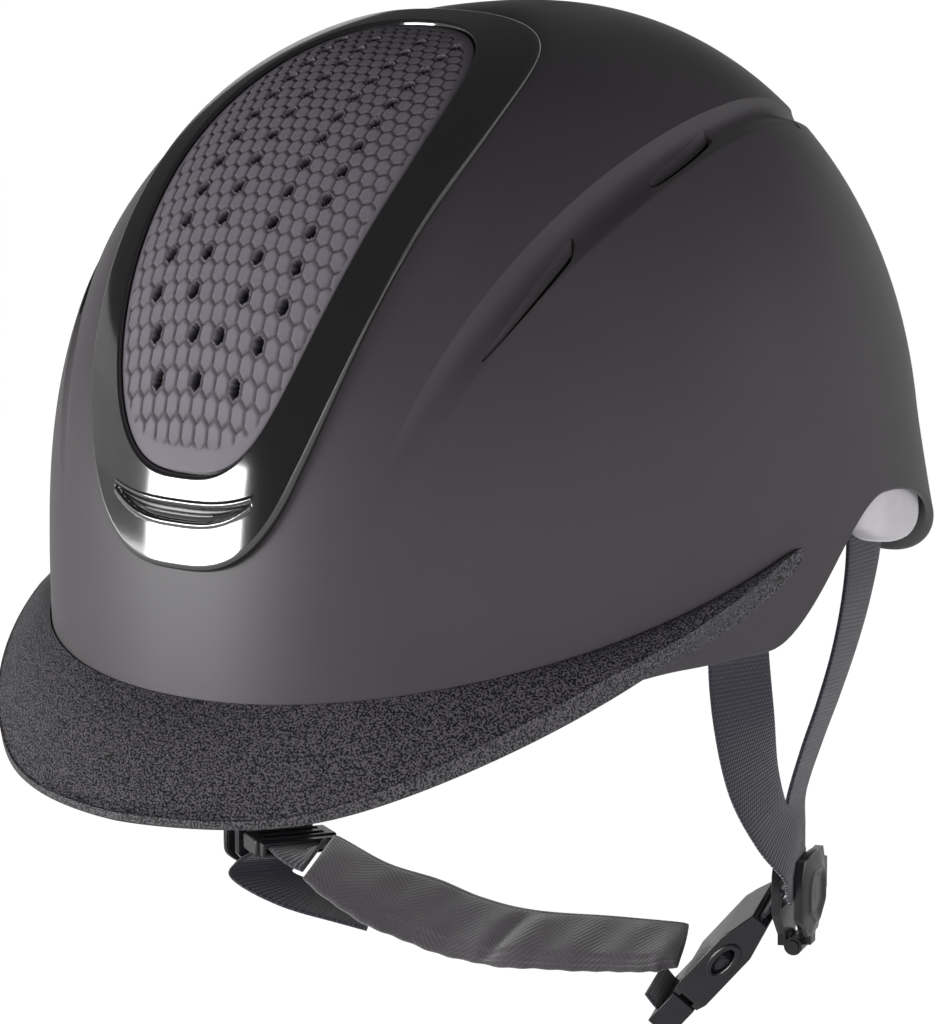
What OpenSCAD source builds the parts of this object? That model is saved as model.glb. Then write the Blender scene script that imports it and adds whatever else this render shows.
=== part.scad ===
// Riding helmet with a short visor, a vented front panel, a chin harness and a nape fit dial.
// Up is +Z, the front is -Y and the wearer's left is +X. The origin lies inside the head opening.

/* [Shell] */
// Half of the shell's width at its widest level
half_w = 105.4; // [98:0.1:112]
// Reach of the shell in front of the origin
front_len = 127.2; // [118:0.1:136]
// Reach of the shell behind the origin
back_len = 134.6; // [126:0.1:142]
// Roundness of the shell seen from above, where 2 is an ellipse
plan_power = 2.314; // [2.2:0.01:2.6]
// Height of the crown above the widest level
dome_h = 137.2; // [128:0.1:146]
// Height of the widest level
belt_z = 49.7; // [47:0.1:53]
// Roundness of the shell seen from the side
side_power = 2.207; // [2.1:0.01:2.3]
// Change of that roundness between the back and the front
side_lean = -0.153; // [-0.2:0.01:0]
// Share by which the shell draws in below its widest level
tuck = 0.02; // [0:0.01:0.04]
// Shift of the crown towards the back
crown_shift = 18.9; // [14:0.1:22]
// Forward lean of the forehead over 100 mm of height
front_rake = 5.95; // [3:0.05:8]
// Outward flare of the nape
nape_flare = 4.35; // [2:0.05:6]
// Wall of the shell
shell_t = 2.2; // [1.6:0.1:2.6]

/* [Rim] */
// Height of the rim at the forehead
rim_front_z = 7; // [4:0.5:8]
// Height of the rim at the temples
rim_side_z = 20.5; // [18:0.5:22]
// Height of the rim at the nape
rim_back_z = 16; // [13:0.5:18]
// Height of the cut behind the ears
notch_z = 55; // [50:0.5:57]
// Bearing of that cut from the front, in degrees
notch_bearing = 110; // [108:0.5:112]

/* [Visor] */
// Reach of the peak in front of the shell
peak_reach = 27.5; // [20:0.5:32]
// Depth of the peak's edge below the origin
peak_drop = 13.2; // [10:0.1:16]
// Bearing of the wing tips from the front, in degrees
wing_bearing = 91; // [86:0.5:94]
// Thickness of the rolled edge
peak_t = 3; // [2.4:0.1:4]

/* [Front trim] */
// Raised height of the glossy frame above the shell
frame_t = 2; // [1.4:0.1:2.6]
// Half width of the frame at its widest row
frame_half_w = 50; // [47:0.5:52]
// Thickness of the rubber vent panel
panel_t = 1.1; // [0.8:0.1:1.6]
// Half width of the vent panel at its widest row
panel_half_w = 37.8; // [35:0.1:40]
// Diameter of the vent holes
vent_hole_d = 3; // [2:0.1:3.6]
// Half length of the crescent recess in the foot of the frame
crescent_half_w = 24.5; // [20:0.5:26]
// Depth of that recess
crescent_depth = 1.2; // [0.8:0.1:1.4]

/* [Side vents] */
// Depth of the side channels
channel_depth = 3.2; // [2:0.1:3.6]
// Width of the vent slots
slot_w = 4.6; // [3.6:0.1:5.4]
// Thickness of the vent inserts
insert_t = 1.5; // [1:0.1:1.8]

/* [Liner] */
// Thickness of the impact foam
foam_t = 24; // [20:0.5:27]
// Thickness of the comfort pads
pad_t = 6.5; // [4:0.5:8]
// Depth of the grey nape bolster
bolster_t = 16.5; // [12:0.5:18]
// Height of the trim under the foam
trim_h = 2.6; // [2:0.1:3]
// Depth of that trim
trim_depth = 9; // [6:0.5:12]

/* [Harness] */
// Width of the webbing
web_w = 20; // [18:0.5:21]
// Thickness of the webbing
web_t = 1.3; // [1:0.1:1.5]
// Width of a strap divider
divider_w = 25; // [24:0.5:28]
// Thickness of the divider's plates
divider_t = 2.4; // [2:0.1:2.8]
// Radius of the divider's hinge pin
divider_pin_r = 1; // [0.8:0.1:1.2]
// Length of the buckle socket
socket_len = 32; // [31:0.5:36]
// Width of the buckle
buckle_w = 28; // [28:0.5:31]
// Thickness of the buckle
buckle_t = 10; // [9:0.1:11]
// Thickness of the chin pad
chin_pad_t = 5.2; // [4:0.1:6]

/* [Fit dial] */
// Diameter of the dial
dial_d = 26; // [22:0.5:27]
// Pitch radius of the pinion
pinion_r = 5; // [4.5:0.1:5.5]
// Number of teeth on the pinion
pinion_teeth = 10; // [8:1:10]
// Thickness of the racks
rack_t = 2; // [1.6:0.1:2.4]
// Width of the dial housing
housing_w = 60; // [54:0.5:64]

/* [Clearances] */
// Gap between pieces that lie over one another
layer_gap = 0.3; // [0.25:0.01:0.35]
// Gap between the foam and what lies on it
foam_gap = 0.6; // [0.5:0.01:0.8]
// Gap between the shell and the trim on its forehead
trim_gap = 0.65; // [0.6:0.01:0.8]
// Gap between a pin and its bore, on the radius
pin_gap = 0.05; // [0.02:0.01:0.09]
// Gap round webbing that passes through a slot
web_gap = 0.4; // [0.3:0.05:0.6]
// Gap round pieces that slide in one another
slide_gap = 0.3; // [0.2:0.05:0.4]

/* [Hidden] */

// Degrees in one radian
radian = 180 / PI;

// Bearing step between the columns of the shell, in degrees
column = 7.5;

function smooth(v) = let (c = max(0, min(1, v))) c * c * (3 - 2 * c);
function mix(a, b, f) = a * (1 - f) + b * f;
function unit(v) = v / norm(v);
function bent(v, p) = sign(v) * pow(abs(v), p);

// A point of the helmet's skin. The turn u is 0 at the left and 90 at the back, the climb t is 0 at the
// widest level and 90 at the crown, and the offset d is measured outwards.
function crest_power(u) = side_power + side_lean * sin(u);
function skin(u, t, d = 0) =
  let (c = cos(u))
  let (s = sin(u))
  let (k = pow(pow(abs(c), plan_power) + pow(abs(s), plan_power), -1 / plan_power))
  let (a = half_w + d)
  let (b = (s < 0 ? front_len : back_len) + d)
  let (p = crest_power(u))
  let (r = t >= 0 ? pow(cos(t), 2 / p) : 1 - tuck * pow(t / radian, 2))
  let (z = t >= 0 ? belt_z + (dome_h + d) * pow(sin(t), 2 / p) : belt_z * (1 + t / radian))
  let (x = a * c * k * r)
  let (y = b * s * k * r + crown_shift * (1 - min(r, 1)))
  let (out = [x / a, y / b] / max(0.001, norm([x / a, y / b])))
  let (low = pow(max(0, min(2, (72 - z) / 32)), 1.6))
  let (flare = nape_flare * smooth((s - 0.15) / 0.45) * low)
  let (rake = pow(max(-s, 0), 2) * front_rake * (z - 75) / 100 * smooth(r / 0.25))
  [x + flare * out[0], y + flare * out[1] + rake, z];

// The climb at which the skin reaches a height
function climb(z, u, d = 0) =
  z < belt_z
  ? -(1 - z / belt_z) * radian
  : asin(min(1, pow((z - belt_z) / (dome_h + d), crest_power(u) / 2)));

// A point of the skin at a bearing from the front, positive to the left, and at a height
function at(bearing, z, d = 0) = skin(bearing - 90, climb(z, bearing - 90, d), d);

// Height of the shell's rim
function rim_z(bearing) =
  let (a = abs(bearing))
  let (x = (a - notch_bearing) / (a < notch_bearing ? 25 : 30))
  let (rise = (rim_side_z - rim_front_z) * smooth((a - 30) / 40))
  let (fall = (rim_side_z - rim_back_z) * smooth((a - 120) / 50))
  let (base = rim_front_z + rise - fall)
  base + (abs(x) < 1 ? (notch_z - base) * pow(cos(90 * x), 2) : 0);

// Lower and upper edge of the side channel, as climbs
function channel_fall(a) = 0.00007 * pow(max(a - 100, 0), 2);
function channel_low(a) = (0.91 * (1 - exp(-(a - 29) / 28)) - channel_fall(a)) * radian;
function channel_high(a) = (0.97 * (1 - exp(-(a - 26) / 23)) - channel_fall(a)) * radian;
function channel_climb(bearing, v) =
  let (a = max(30, min(140, abs(bearing))))
  mix(channel_low(a), channel_high(a), v) + 0.9 * max(0, 30 - abs(bearing));
function channel_dip(bearing, v) =
  let (a = abs(bearing))
  channel_depth * smooth((a - 26) / 24) * smooth((158 - a) / 26)
    * pow(max(0, sin(180 * max(0, min(1, v)))), 0.8);

// Rows of one shell column: from the edge to the channel, across it, and on to the crown
channel_rows = [-0.25, 0, 0.25, 0.5, 0.75, 1, 1.25];
last_climb = 86;
high_rows = 6;
function column_rows(bearing, edge_z, d) =
  let (start = climb(edge_z, bearing - 90, d))
  let (turn = max(start + 1, 0))
  let (below = channel_climb(bearing, channel_rows[0]))
  let (above = channel_climb(bearing, channel_rows[6]))
  [
    [start, 0, 0],
    [mix(start, turn, 0.5), 0, 0],
    for (i = [0:3]) [mix(turn, below, i / 4), 0, 0],
    for (v = channel_rows) [channel_climb(bearing, v), channel_dip(bearing, v), v >= 0 && v <= 1 ? 1 : 0],
    for (i = [1:high_rows]) [mix(above, last_climb, i / high_rows), 0, 0]
  ];

bearings = [for (a = [-180:column:180 - column]) a];

// Turns a list of columns into a list of rows
function rows_of(columns) = [for (r = [0:len(columns[0]) - 1]) [for (c = columns) c[r]]];

// A closed solid from points and triangles, whichever way the triangles turn
function six_volumes(p, f) = [for (t = f) p[t[0]] * cross(p[t[1]], p[t[2]])];
function total(v) = v * [for (i = v) 1];
module solid(p, f) {
  polyhedron(p, total(six_volumes(p, f)) < 0 ? f : [for (t = f) [t[2], t[1], t[0]]]);
}

// Two triangles of a four-cornered patch
function patch(a, b, c, d) = [[a, b, c], [a, c, d]];

// A plate between two facing grids of points. A ring closes on itself, and tips close the last row.
module plate(top, bottom, ring = false, tips = []) {
  rows = len(top);
  cols = len(top[0]);
  size = rows * cols;
  steps = ring ? cols : cols - 1;
  function index(side, r, c) = side * size + r * cols + c % cols;
  solid(
    [for (g = [top, bottom]) for (row = g) each row, each tips],
    [
      for (r = [0:rows - 2]) for (c = [0:steps - 1])
        each patch(index(0, r, c), index(0, r, c + 1), index(0, r + 1, c + 1), index(0, r + 1, c)),
      for (r = [0:rows - 2]) for (c = [0:steps - 1])
        each patch(index(1, r, c), index(1, r + 1, c), index(1, r + 1, c + 1), index(1, r, c + 1)),
      for (c = [0:steps - 1])
        each patch(index(0, 0, c), index(1, 0, c), index(1, 0, c + 1), index(0, 0, c + 1)),
      if (len(tips) == 0) for (c = [0:steps - 1])
        each patch(index(0, rows - 1, c), index(0, rows - 1, c + 1), index(1, rows - 1, c + 1),
          index(1, rows - 1, c)),
      if (len(tips) > 0) for (c = [0:steps - 1]) [index(0, rows - 1, c), index(0, rows - 1, c + 1),
        2 * size],
      if (len(tips) > 0) for (c = [0:steps - 1]) [index(1, rows - 1, c + 1), index(1, rows - 1, c),
        2 * size + 1],
      if (!ring) for (r = [0:rows - 2])
        each patch(index(0, r, 0), index(0, r + 1, 0), index(1, r + 1, 0), index(1, r, 0)),
      if (!ring) for (r = [0:rows - 2])
        each patch(index(0, r, cols - 1), index(1, r, cols - 1), index(1, r + 1, cols - 1),
          index(0, r + 1, cols - 1))
    ]
  );
}

// A solid through a row of sections with equal numbers of points, closed on itself or capped
module loft(sections, closed = false) {
  n = len(sections);
  m = len(sections[0]);
  last = (n - 1) * m;
  steps = closed ? n : n - 1;
  function index(s, i) = (s % n) * m + i % m;
  solid(
    [for (s = sections) each s],
    [
      for (s = [0:steps - 1]) for (i = [0:m - 1])
        each patch(index(s, i), index(s, i + 1), index(s + 1, i + 1), index(s + 1, i)),
      if (!closed) for (i = [0:m / 2 - 2]) each patch(i, m - 1 - i, m - 2 - i, i + 1),
      if (!closed) for (i = [0:m / 2 - 2]) each patch(last + i, last + i + 1, last + m - 2 - i,
        last + m - 1 - i)
    ]
  );
}

// Makes one mesh of the pieces inside it
module meshed() {
  resize([0, 0, 0]) children();
}

// A smooth curve through points, with n steps between two of them
function pull(p, i) = p[max(0, min(len(p) - 1, i))];
function curve_point(p, i, f) =
  let (a = pull(p, i - 1))
  let (b = pull(p, i))
  let (c = pull(p, i + 1))
  let (d = pull(p, i + 2))
  (2 * b + (c - a) * f + (2 * a - 5 * b + 4 * c - d) * f * f + (3 * b - a - 3 * c + d) * f * f * f) / 2;
function curve(p, n) = [
  for (i = [0:len(p) - 2]) for (k = [0:n - 1]) curve_point(p, i, k / n),
  p[len(p) - 1]
];

// A flat band along a route. Each station gives the direction of the band's width.
module band(route, across, w, t, n = 3) {
  way = curve(route, n);
  side = curve(across, n);
  last = len(way) - 1;
  loft([
    for (i = [0:last])
      let (along = way[min(i + 1, last)] - way[max(i - 1, 0)])
      let (x = unit(side[i]) * w / 2)
      let (y = unit(cross(along, side[i])) * t / 2)
      [way[i] - x - y, way[i] + x - y, way[i] + x + y, way[i] - x + y]
  ]);
}

// The frame and the panel are closed ovals on the forehead. A point is given by its distance x from the
// middle and by its climb.
function front_radius(t, u) = t >= 0 ? pow(cos(t), 2 / crest_power(u)) : 1 - tuck * pow(t / radian, 2);
function plan_turn(x) =
  let (c = max(-0.999, min(0.999, x)))
  atan2(-pow(1 - pow(abs(c), plan_power), 1 / plan_power), c);
function on_front(x, t, d) =
  let (first = plan_turn(x / ((half_w + d) * front_radius(t, -90))))
  let (second = plan_turn(x / ((half_w + d) * front_radius(t, first))))
  skin(plan_turn(x / ((half_w + d) * front_radius(t, second))), t, d);

frame_mid = 38.5;
frame_reach = 39.5;
panel_mid = 40.25;
panel_reach = 32.75;
function frame_width(t) = frame_half_w - 7.5 * (1 - smooth(t / 50));
function panel_width(t) = panel_half_w - 5.3 * (1 - smooth((t - 10) / 35));
function oval_power(a) = sin(a) < 0 ? 2 / 3 : 2 / 2.3;
function frame_edge(a, grow = 0) =
  let (t = frame_mid + (frame_reach + grow / 2.2) * bent(sin(a), oval_power(a)))
  [(frame_width(t) + grow) * bent(cos(a), oval_power(a)), t];
function panel_edge(a, grow = 0, share = 1) =
  let (t = panel_mid + (panel_reach * share + grow / 2.2) * bent(sin(a), oval_power(a)))
  [(panel_width(t) * share + grow) * bent(cos(a), oval_power(a)), t];
function on_oval(e, d) = on_front(e[0], e[1], d);

oval_steps = 40;
oval_angles = [for (i = [0:oval_steps - 1]) i * 360 / oval_steps];
frame_top = trim_gap + frame_t;

// A plate inside an oval, from the edge to the middle
module oval_plate(grow, share, d_low, d_high) {
  ring_shares = [1, 0.72, 0.38];
  plate(
    [for (s = ring_shares) [for (a = oval_angles) on_oval(panel_edge(a, grow * s, share * s), d_high)]],
    [for (s = ring_shares) [for (a = oval_angles) on_oval(panel_edge(a, grow * s, share * s), d_low)]],
    true,
    [on_front(0, panel_mid, d_high), on_front(0, panel_mid, d_low)]
  );
}

// The vent slots of one side: the bearing and the climb of both ends
vent_slots = [[42.2, 20.6, 55.6, 35], [70.4, 42.4, 92, 49.8], [111.5, 52, 123.8, 47.6]];
module slot_cutters(side, w) {
  for (s = vent_slots) {
    rows = [
      for (i = [0:6])
        let (f = i / 6)
        let (lean = w / 2 / 2.1 * sqrt(max(0.02, 1 - pow(2 * f - 1, 6))))
        [mix(s[0], s[2], f), mix(s[1], s[3], f), lean]
    ];
    plate(
      [for (r = rows) [for (e = [-1, 0, 1]) skin(side * r[0] - 90, r[1] + e * r[2], 5)]],
      [for (r = rows) [for (e = [-1, 0, 1]) skin(side * r[0] - 90, r[1] + e * r[2], -9)]]
    );
  }
}

// Outer shell
module outer_shell() {
  columns = [for (b = bearings) column_rows(b, rim_z(b), 0)];
  outer = rows_of([for (i = [0:len(bearings) - 1]) [for (r = columns[i]) skin(bearings[i] - 90, r[0],
    -r[1])]]);
  inner = rows_of([
    for (i = [0:len(bearings) - 1]) [for (r = columns[i]) skin(bearings[i] - 90, r[0], -r[1] - shell_t)]
  ]);
  color([0.17, 0.16, 0.17]) meshed() difference() {
    plate(outer, inner, true, [skin(-90, 90, 0), skin(-90, 90, -shell_t)]);
    oval_plate(-7, 1, -9, 5);
    slot_cutters(1, slot_w);
    slot_cutters(-1, slot_w);
  }
}

// The foam stops above the rim trim at the front and above the bolster at the back
liner_out = -shell_t - foam_gap;
liner_in = liner_out - foam_t;
insert_out = -shell_t - layer_gap;
insert_first = 37.5;
insert_last = 127.5;
bolster_start = 112.5;
bolster_high = 62;
function bolster_top(bearing) = bolster_high - 10 * smooth((120 - abs(bearing)) / 12) - 12
  * smooth((abs(bearing) - 126) / 20);
function liner_z(bearing) =
  let (a = abs(bearing))
  a < 90 ? rim_z(a) + layer_gap + trim_h + layer_gap : a < bolster_start ? rim_z(a) + layer_gap
    : bolster_top(a) + foam_gap;

// A pocket in the foam and the trim for the end of a front strap
module strap_pocket(side) {
  pocket_bearings = [66, 72, 78, 84, 90];
  plate(
    [for (z = [10, 20, 30, 40, 52]) [for (b = pocket_bearings) at(side * b, z, liner_out + 1)]],
    [for (z = [10, 20, 30, 40, 52]) [for (b = pocket_bearings) at(side * b, z, liner_out - 7)]]
  );
}

// A straight air duct through the foam
module air_duct(x, y) {
  translate([x, y, belt_z + 20]) cube([3.6, 16, dome_h + 40]);
}

module impact_liner() {
  relief = insert_t + layer_gap - foam_gap + layer_gap;
  function cut(bearing, row) = row[2]
    * (abs(bearing) >= insert_first && abs(bearing) <= insert_last ? relief : 0);
  columns = [for (b = bearings) column_rows(b, liner_z(b), liner_out)];
  outer = rows_of([
    for (i = [0:len(bearings) - 1]) [
      for (r = columns[i]) skin(bearings[i] - 90, r[0], liner_out - r[1] - cut(bearings[i], r))
    ]
  ]);
  inner = rows_of([
    for (i = [0:len(bearings) - 1])
      let (rows = column_rows(bearings[i], liner_z(bearings[i]), liner_in))
      [for (r = rows) skin(bearings[i] - 90, r[0], liner_in)]
  ]);
  color([0.1, 0.1, 0.1]) meshed() difference() {
    plate(outer, inner, true, [skin(-90, 90, liner_out), skin(-90, 90, liner_in)]);
    oval_plate(-9, 1, liner_out - 7, 5);
    for (x = [-16, 12.4]) for (y = [-62, -24]) air_duct(x, y);
    strap_pocket(1);
    strap_pocket(-1);
  }
}

// Trim that closes the foam's lower edge round the forehead and the temples
module rim_trim() {
  trim_bearings = [for (a = [-82.5:column:82.5]) a];
  low = [for (b = trim_bearings) rim_z(b) + layer_gap];
  depths = [liner_out, liner_out - trim_depth];
  color([0.05, 0.05, 0.05]) meshed() difference() {
    loft([
      for (i = [0:len(trim_bearings) - 1]) [
        at(trim_bearings[i], low[i], depths[0]),
        at(trim_bearings[i], low[i] + 0.4, depths[1] + 1),
        at(trim_bearings[i], low[i] + 1, depths[1]),
        at(trim_bearings[i], low[i] + trim_h, depths[1]),
        at(trim_bearings[i], low[i] + trim_h, depths[0] - 1),
        at(trim_bearings[i], low[i] + trim_h, depths[0])
      ]
    ]);
    strap_pocket(1);
    strap_pocket(-1);
  }
}

// Visor: a peak in front and a wing along each side, on the shell's lower edge
function seam_z(a) = 14.9 + 15.85 * pow(a / radian, 2) - 1.03 * pow(a / radian, 4);
function wing_low_z(a) = 9 + 34 * pow(a / wing_bearing, 3);
function lip_z(a) = 0.4 - peak_drop + 0.93 * ((a - 25) + sqrt(pow(a - 25, 2) + 100)) / 2;
function wing_share(a) = a * a / (a + 10) * (wing_bearing + 10) / (wing_bearing * wing_bearing);
function lip_out(a) = 1.5 + peak_reach * pow(max(0, 1 - wing_share(a)), 1.1);
function lip(bearing, inward, lift) =
  let (a = abs(bearing))
  let (c = cos(bearing - 90))
  let (s = sin(bearing - 90))
  let (k = pow(pow(abs(c), plan_power) + pow(abs(s), plan_power), -1 / plan_power))
  let (d = max(0.6, lip_out(a) - inward))
  [(half_w * k + 0.76 * d) * c, (front_len * k + d) * s, lip_z(a) + lift];
function visor_section(bearing) =
  let (a = abs(bearing))
  let (roll = peak_t / 2 * sqrt(lip_out(a) / (peak_reach + 1.5)))
  let (root_top = at(bearing, seam_z(a), layer_gap))
  let (root_mid = at(bearing, (seam_z(a) + wing_low_z(a)) / 2, layer_gap))
  let (root_low = at(bearing, wing_low_z(a), layer_gap))
  let (lip_high = lip(bearing, roll * 0.6, roll))
  let (lip_low = lip(bearing, roll * 0.6, -roll))
  let (swell = [0, 0, 0.07 * lip_out(a)])
  [
    root_mid,
    root_top,
    mix(root_top, lip_high, 0.3) + swell * 0.8,
    mix(root_top, lip_high, 0.6) + swell,
    mix(root_top, lip_high, 0.85) + swell * 0.5,
    lip_high,
    lip(bearing, 0, 0),
    lip_low,
    mix(lip_low, root_low, 0.2) + swell * 0.6,
    mix(lip_low, root_low, 0.6) + swell,
    root_low,
    mix(root_low, root_mid, 0.5)
  ];
module visor() {
  stations = [-wing_bearing, for (a = [-85:5:85]) a, wing_bearing];
  color([0.15, 0.14, 0.15]) loft([for (a = stations) visor_section(a)]);
}

// Glossy frame with a crescent recess in its foot
function crescent_low(x) = 2.5 + 3.2 * pow(abs(x) / crescent_half_w, 3);
function crescent_high(x) = 4.5 + 2 * pow(abs(x) / crescent_half_w, 3);
module crescent(grow, d_low, d_high, upper) {
  stations = [for (i = [-8:8]) i / 8];
  tops = [for (s = stations) mix(crescent_low(s * crescent_half_w), crescent_high(s * crescent_half_w),
    upper)];
  plate(
    [for (d = [d_low, d_high]) [for (i = [0:16]) on_front(stations[i] * (crescent_half_w + grow),
      tops[i] + grow / 2.6, d)]],
    [
      for (d = [d_low, d_high])
        [for (i = [0:16]) on_front(stations[i] * (crescent_half_w + grow),
          crescent_low(stations[i] * crescent_half_w) - grow / 2.6, d)]
    ]
  );
}
module front_frame() {
  edge = 0.8;
  color([0.06, 0.06, 0.06]) meshed() difference() {
    loft(
      [
        for (a = oval_angles) [
          on_oval(frame_edge(a), trim_gap),
          on_oval(frame_edge(a), frame_top - edge),
          on_oval(frame_edge(a, -edge), frame_top),
          on_oval(mix(frame_edge(a), panel_edge(a), 0.5), frame_top),
          on_oval(panel_edge(a, layer_gap + edge), frame_top),
          on_oval(panel_edge(a, layer_gap), frame_top - edge),
          on_oval(panel_edge(a, layer_gap), trim_gap),
          on_oval(mix(frame_edge(a), panel_edge(a), 0.5), trim_gap)
        ]
      ],
      true
    );
    crescent(0, frame_top - crescent_depth, frame_top + 2, 1);
  }
}

// Thin bar along the lower edge of the crescent recess
module accent_bar() {
  color([0.1, 0.1, 0.1]) crescent(
    -layer_gap,
    frame_top - crescent_depth + layer_gap / 2,
    frame_top - layer_gap,
    0.62
  );
}

// Rubber vent panel with curved rows of through holes
hole_rows = 14;
function hole_climb(row, x) = 16.6 + 5.2 * row - 0.095 * row * row - 0.0022 * x * x;
function hole_places(row) = row == 0 ? [-13.4, 0, 13.4] : row == 1 ? [-17.6, -4.3, 4.3, 17.6]
  : [-22, -9, 9, 22] * (1 - 0.008 * row);
module vent_panel() {
  color([0.24, 0.24, 0.25]) meshed() difference() {
    oval_plate(0, 1, trim_gap, trim_gap + panel_t);
    for (row = [0:hole_rows - 1]) for (x = hole_places(row)) {
      low = on_front(x, hole_climb(row, x), 0);
      high = on_front(x, hole_climb(row, x), 5);
      way = unit(high - low);
      translate(low) rotate([0, acos(way[2]), atan2(way[1], way[0])])
        cylinder(d = vent_hole_d, h = 12, center = true, $fn = 6);
    }
  }
}

// Insert behind the vent slots of one side
module side_vent(side) {
  insert_bearings = [for (a = [insert_first:column:insert_last]) side > 0 ? a
    : a - insert_first - insert_last];
  across = [0, 0.25, 0.5, 0.75, 1];
  color([0.07, 0.07, 0.07]) meshed() difference() {
    plate(
      [
        for (v = across)
          [for (a = insert_bearings) skin(a - 90, channel_climb(a, v), insert_out - channel_dip(a, v))]
      ],
      [
        for (v = across)
          [for (a = insert_bearings) skin(a - 90, channel_climb(a, v),
            insert_out - insert_t - channel_dip(a, v))]
      ]
    );
    slot_cutters(side, slot_w * 0.6);
  }
}
module side_vent_left() {
  side_vent(1);
}
module side_vent_right() {
  side_vent(-1);
}

// Rounded grey bolster round the nape, which shows in the cut behind each ear
bolster_out = -shell_t - 1.3;
function bolster_low(bearing) = min(35, rim_z(abs(bearing)) + 2);
module rear_pocket(side) {
  translate(mirrored([90 + spread, 64, 26], side)) rotate([0, 0, side * rear_turn])
    cube([8, web_w + 9, 60], center = true);
}
module nape_bolster() {
  stations = [for (a = [bolster_start:column:360 - bolster_start]) a];
  color([0.55, 0.54, 0.57]) meshed() difference() {
    loft([
      for (b = stations)
        let (low = bolster_low(b > 180 ? 360 - b : b))
        let (high = bolster_top(b > 180 ? 360 - b : b))
        let (in = bolster_out - bolster_t)
        [
          at(b, low + 5, bolster_out),
          at(b, mix(low, high, 0.5), bolster_out),
          at(b, high - 2, bolster_out),
          at(b, high, bolster_out - 2),
          at(b, high, in + 4),
          at(b, high - 3, in),
          at(b, mix(low, high, 0.5), in),
          at(b, low + 4, in),
          at(b, low, in + 5),
          at(b, low, bolster_out - 5)
        ]
    ]);
    rear_pocket(1);
    rear_pocket(-1);
  }
}

// Comfort pads. Each is a cushion that swells towards the head.
dot_t = 1;
pad_out = liner_in - foam_gap - dot_t - layer_gap;
module cushion(b0, b1, z0, z1, cols, rows, d_out) {
  function place(i, j, d) = at(mix(b0, b1, i / cols), mix(z0, z1, j / rows), d);
  function swell(i, j) = pow(sin(180 * i / cols), 0.4) * pow(sin(180 * j / rows), 0.5);
  plate(
    [for (j = [0:rows]) [for (i = [0:cols]) place(i, j, d_out)]],
    [for (j = [0:rows]) [for (i = [0:cols]) place(i, j, d_out - 1.2 - (pad_t - 1.2) * swell(i, j))]]
  );
}
module brow_pad() {
  color([0.09, 0.09, 0.1]) cushion(-54, 54, 20, 44, 12, 5, pad_out);
}
module side_pads() {
  color([0.09, 0.09, 0.1]) for (side = [-1, 1]) cushion(side * 62, side * 102, 54, 84, 6, 5, pad_out);
}
// The height of the skin over a place inside the plan
function over_head(x, y, d, share = 0, rake = 0, n = 6) =
  let (flat = [x / (half_w + d),
    (y - crown_shift * (1 - share) - rake) / ((y < crown_shift ? front_len : back_len) + d)])
  let (r = max(0.001, pow(pow(abs(flat[0]), plan_power) + pow(abs(flat[1]), plan_power), 1 / plan_power)))
  let (s = flat[1] / norm(flat))
  let (p = side_power + side_lean * s)
  let (z = belt_z + (dome_h + d) * pow(max(0, 1 - pow(min(r, 1), p)), 1 / p))
  let (lean = pow(max(-s, 0), 2) * front_rake * (z - 75) / 100 * smooth(r / 0.25))
  n == 0 ? [x, y, z] : over_head(x, y, d, min(r, 1), lean, n - 1);
crown_out = liner_in - foam_gap - dot_t / 2;
module crown_pad() {
  rows = 5;
  cols = 12;
  function place(i, j, d) = over_head(mix(-17, 17, j / rows), mix(-58, 86, i / cols), d);
  function swell(i, j) = pow(sin(180 * i / cols), 0.4) * pow(sin(180 * j / rows), 0.5);
  color([0.09, 0.09, 0.1]) plate(
    [for (j = [0:rows]) [for (i = [0:cols]) place(i, j, crown_out)]],
    [for (j = [0:rows]) [for (i = [0:cols]) place(i, j, crown_out - 1.2 - (pad_t - 1.2) * swell(i, j))]]
  );
}

// Round studs and dots that lie on the inside of the foam, each at a bearing and a height
module spot(bearing, z, r, d_in, d_out) {
  centre = at(bearing, z, d_out);
  per_degree = norm([centre[0], centre[1]]) / radian;
  turns = [for (a = [0:45:315]) a];
  loft([for (d = [d_in, d_out]) [for (a = turns) at(bearing + r * cos(a) / per_degree, z + r * sin(a),
    d)]]);
}
dot_places = [
  [-40, 32], [-14, 32], [14, 32], [40, 32], [-92, 66], [-74, 66], [74, 66], [92, 66]
];
module hook_dots() {
  color([0.2, 0.2, 0.2]) for (p = dot_places) {
    spot(p[0], p[1], 8, pad_out + layer_gap, liner_in - foam_gap);
  }
}

// Routes of the webbing, chosen along its real course, and the direction of its width at each point
function mirrored(p, side) = [side * p[0], p[1], p[2]];
function turn_z(p, a) = [p[0] * cos(a) - p[1] * sin(a), p[0] * sin(a) + p[1] * cos(a), p[2]];
// The harness was routed at this half width of the shell, and moves out or in with it
routed_half_w = 105.4;
spread = half_w - routed_half_w;
function spread_out(points) = [for (p = points) [p[0] + spread, p[1], p[2]]];
function spread_chin(points) = [for (p = points) [p[0] + spread * p[0] / 50, p[1], p[2]]];
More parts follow.
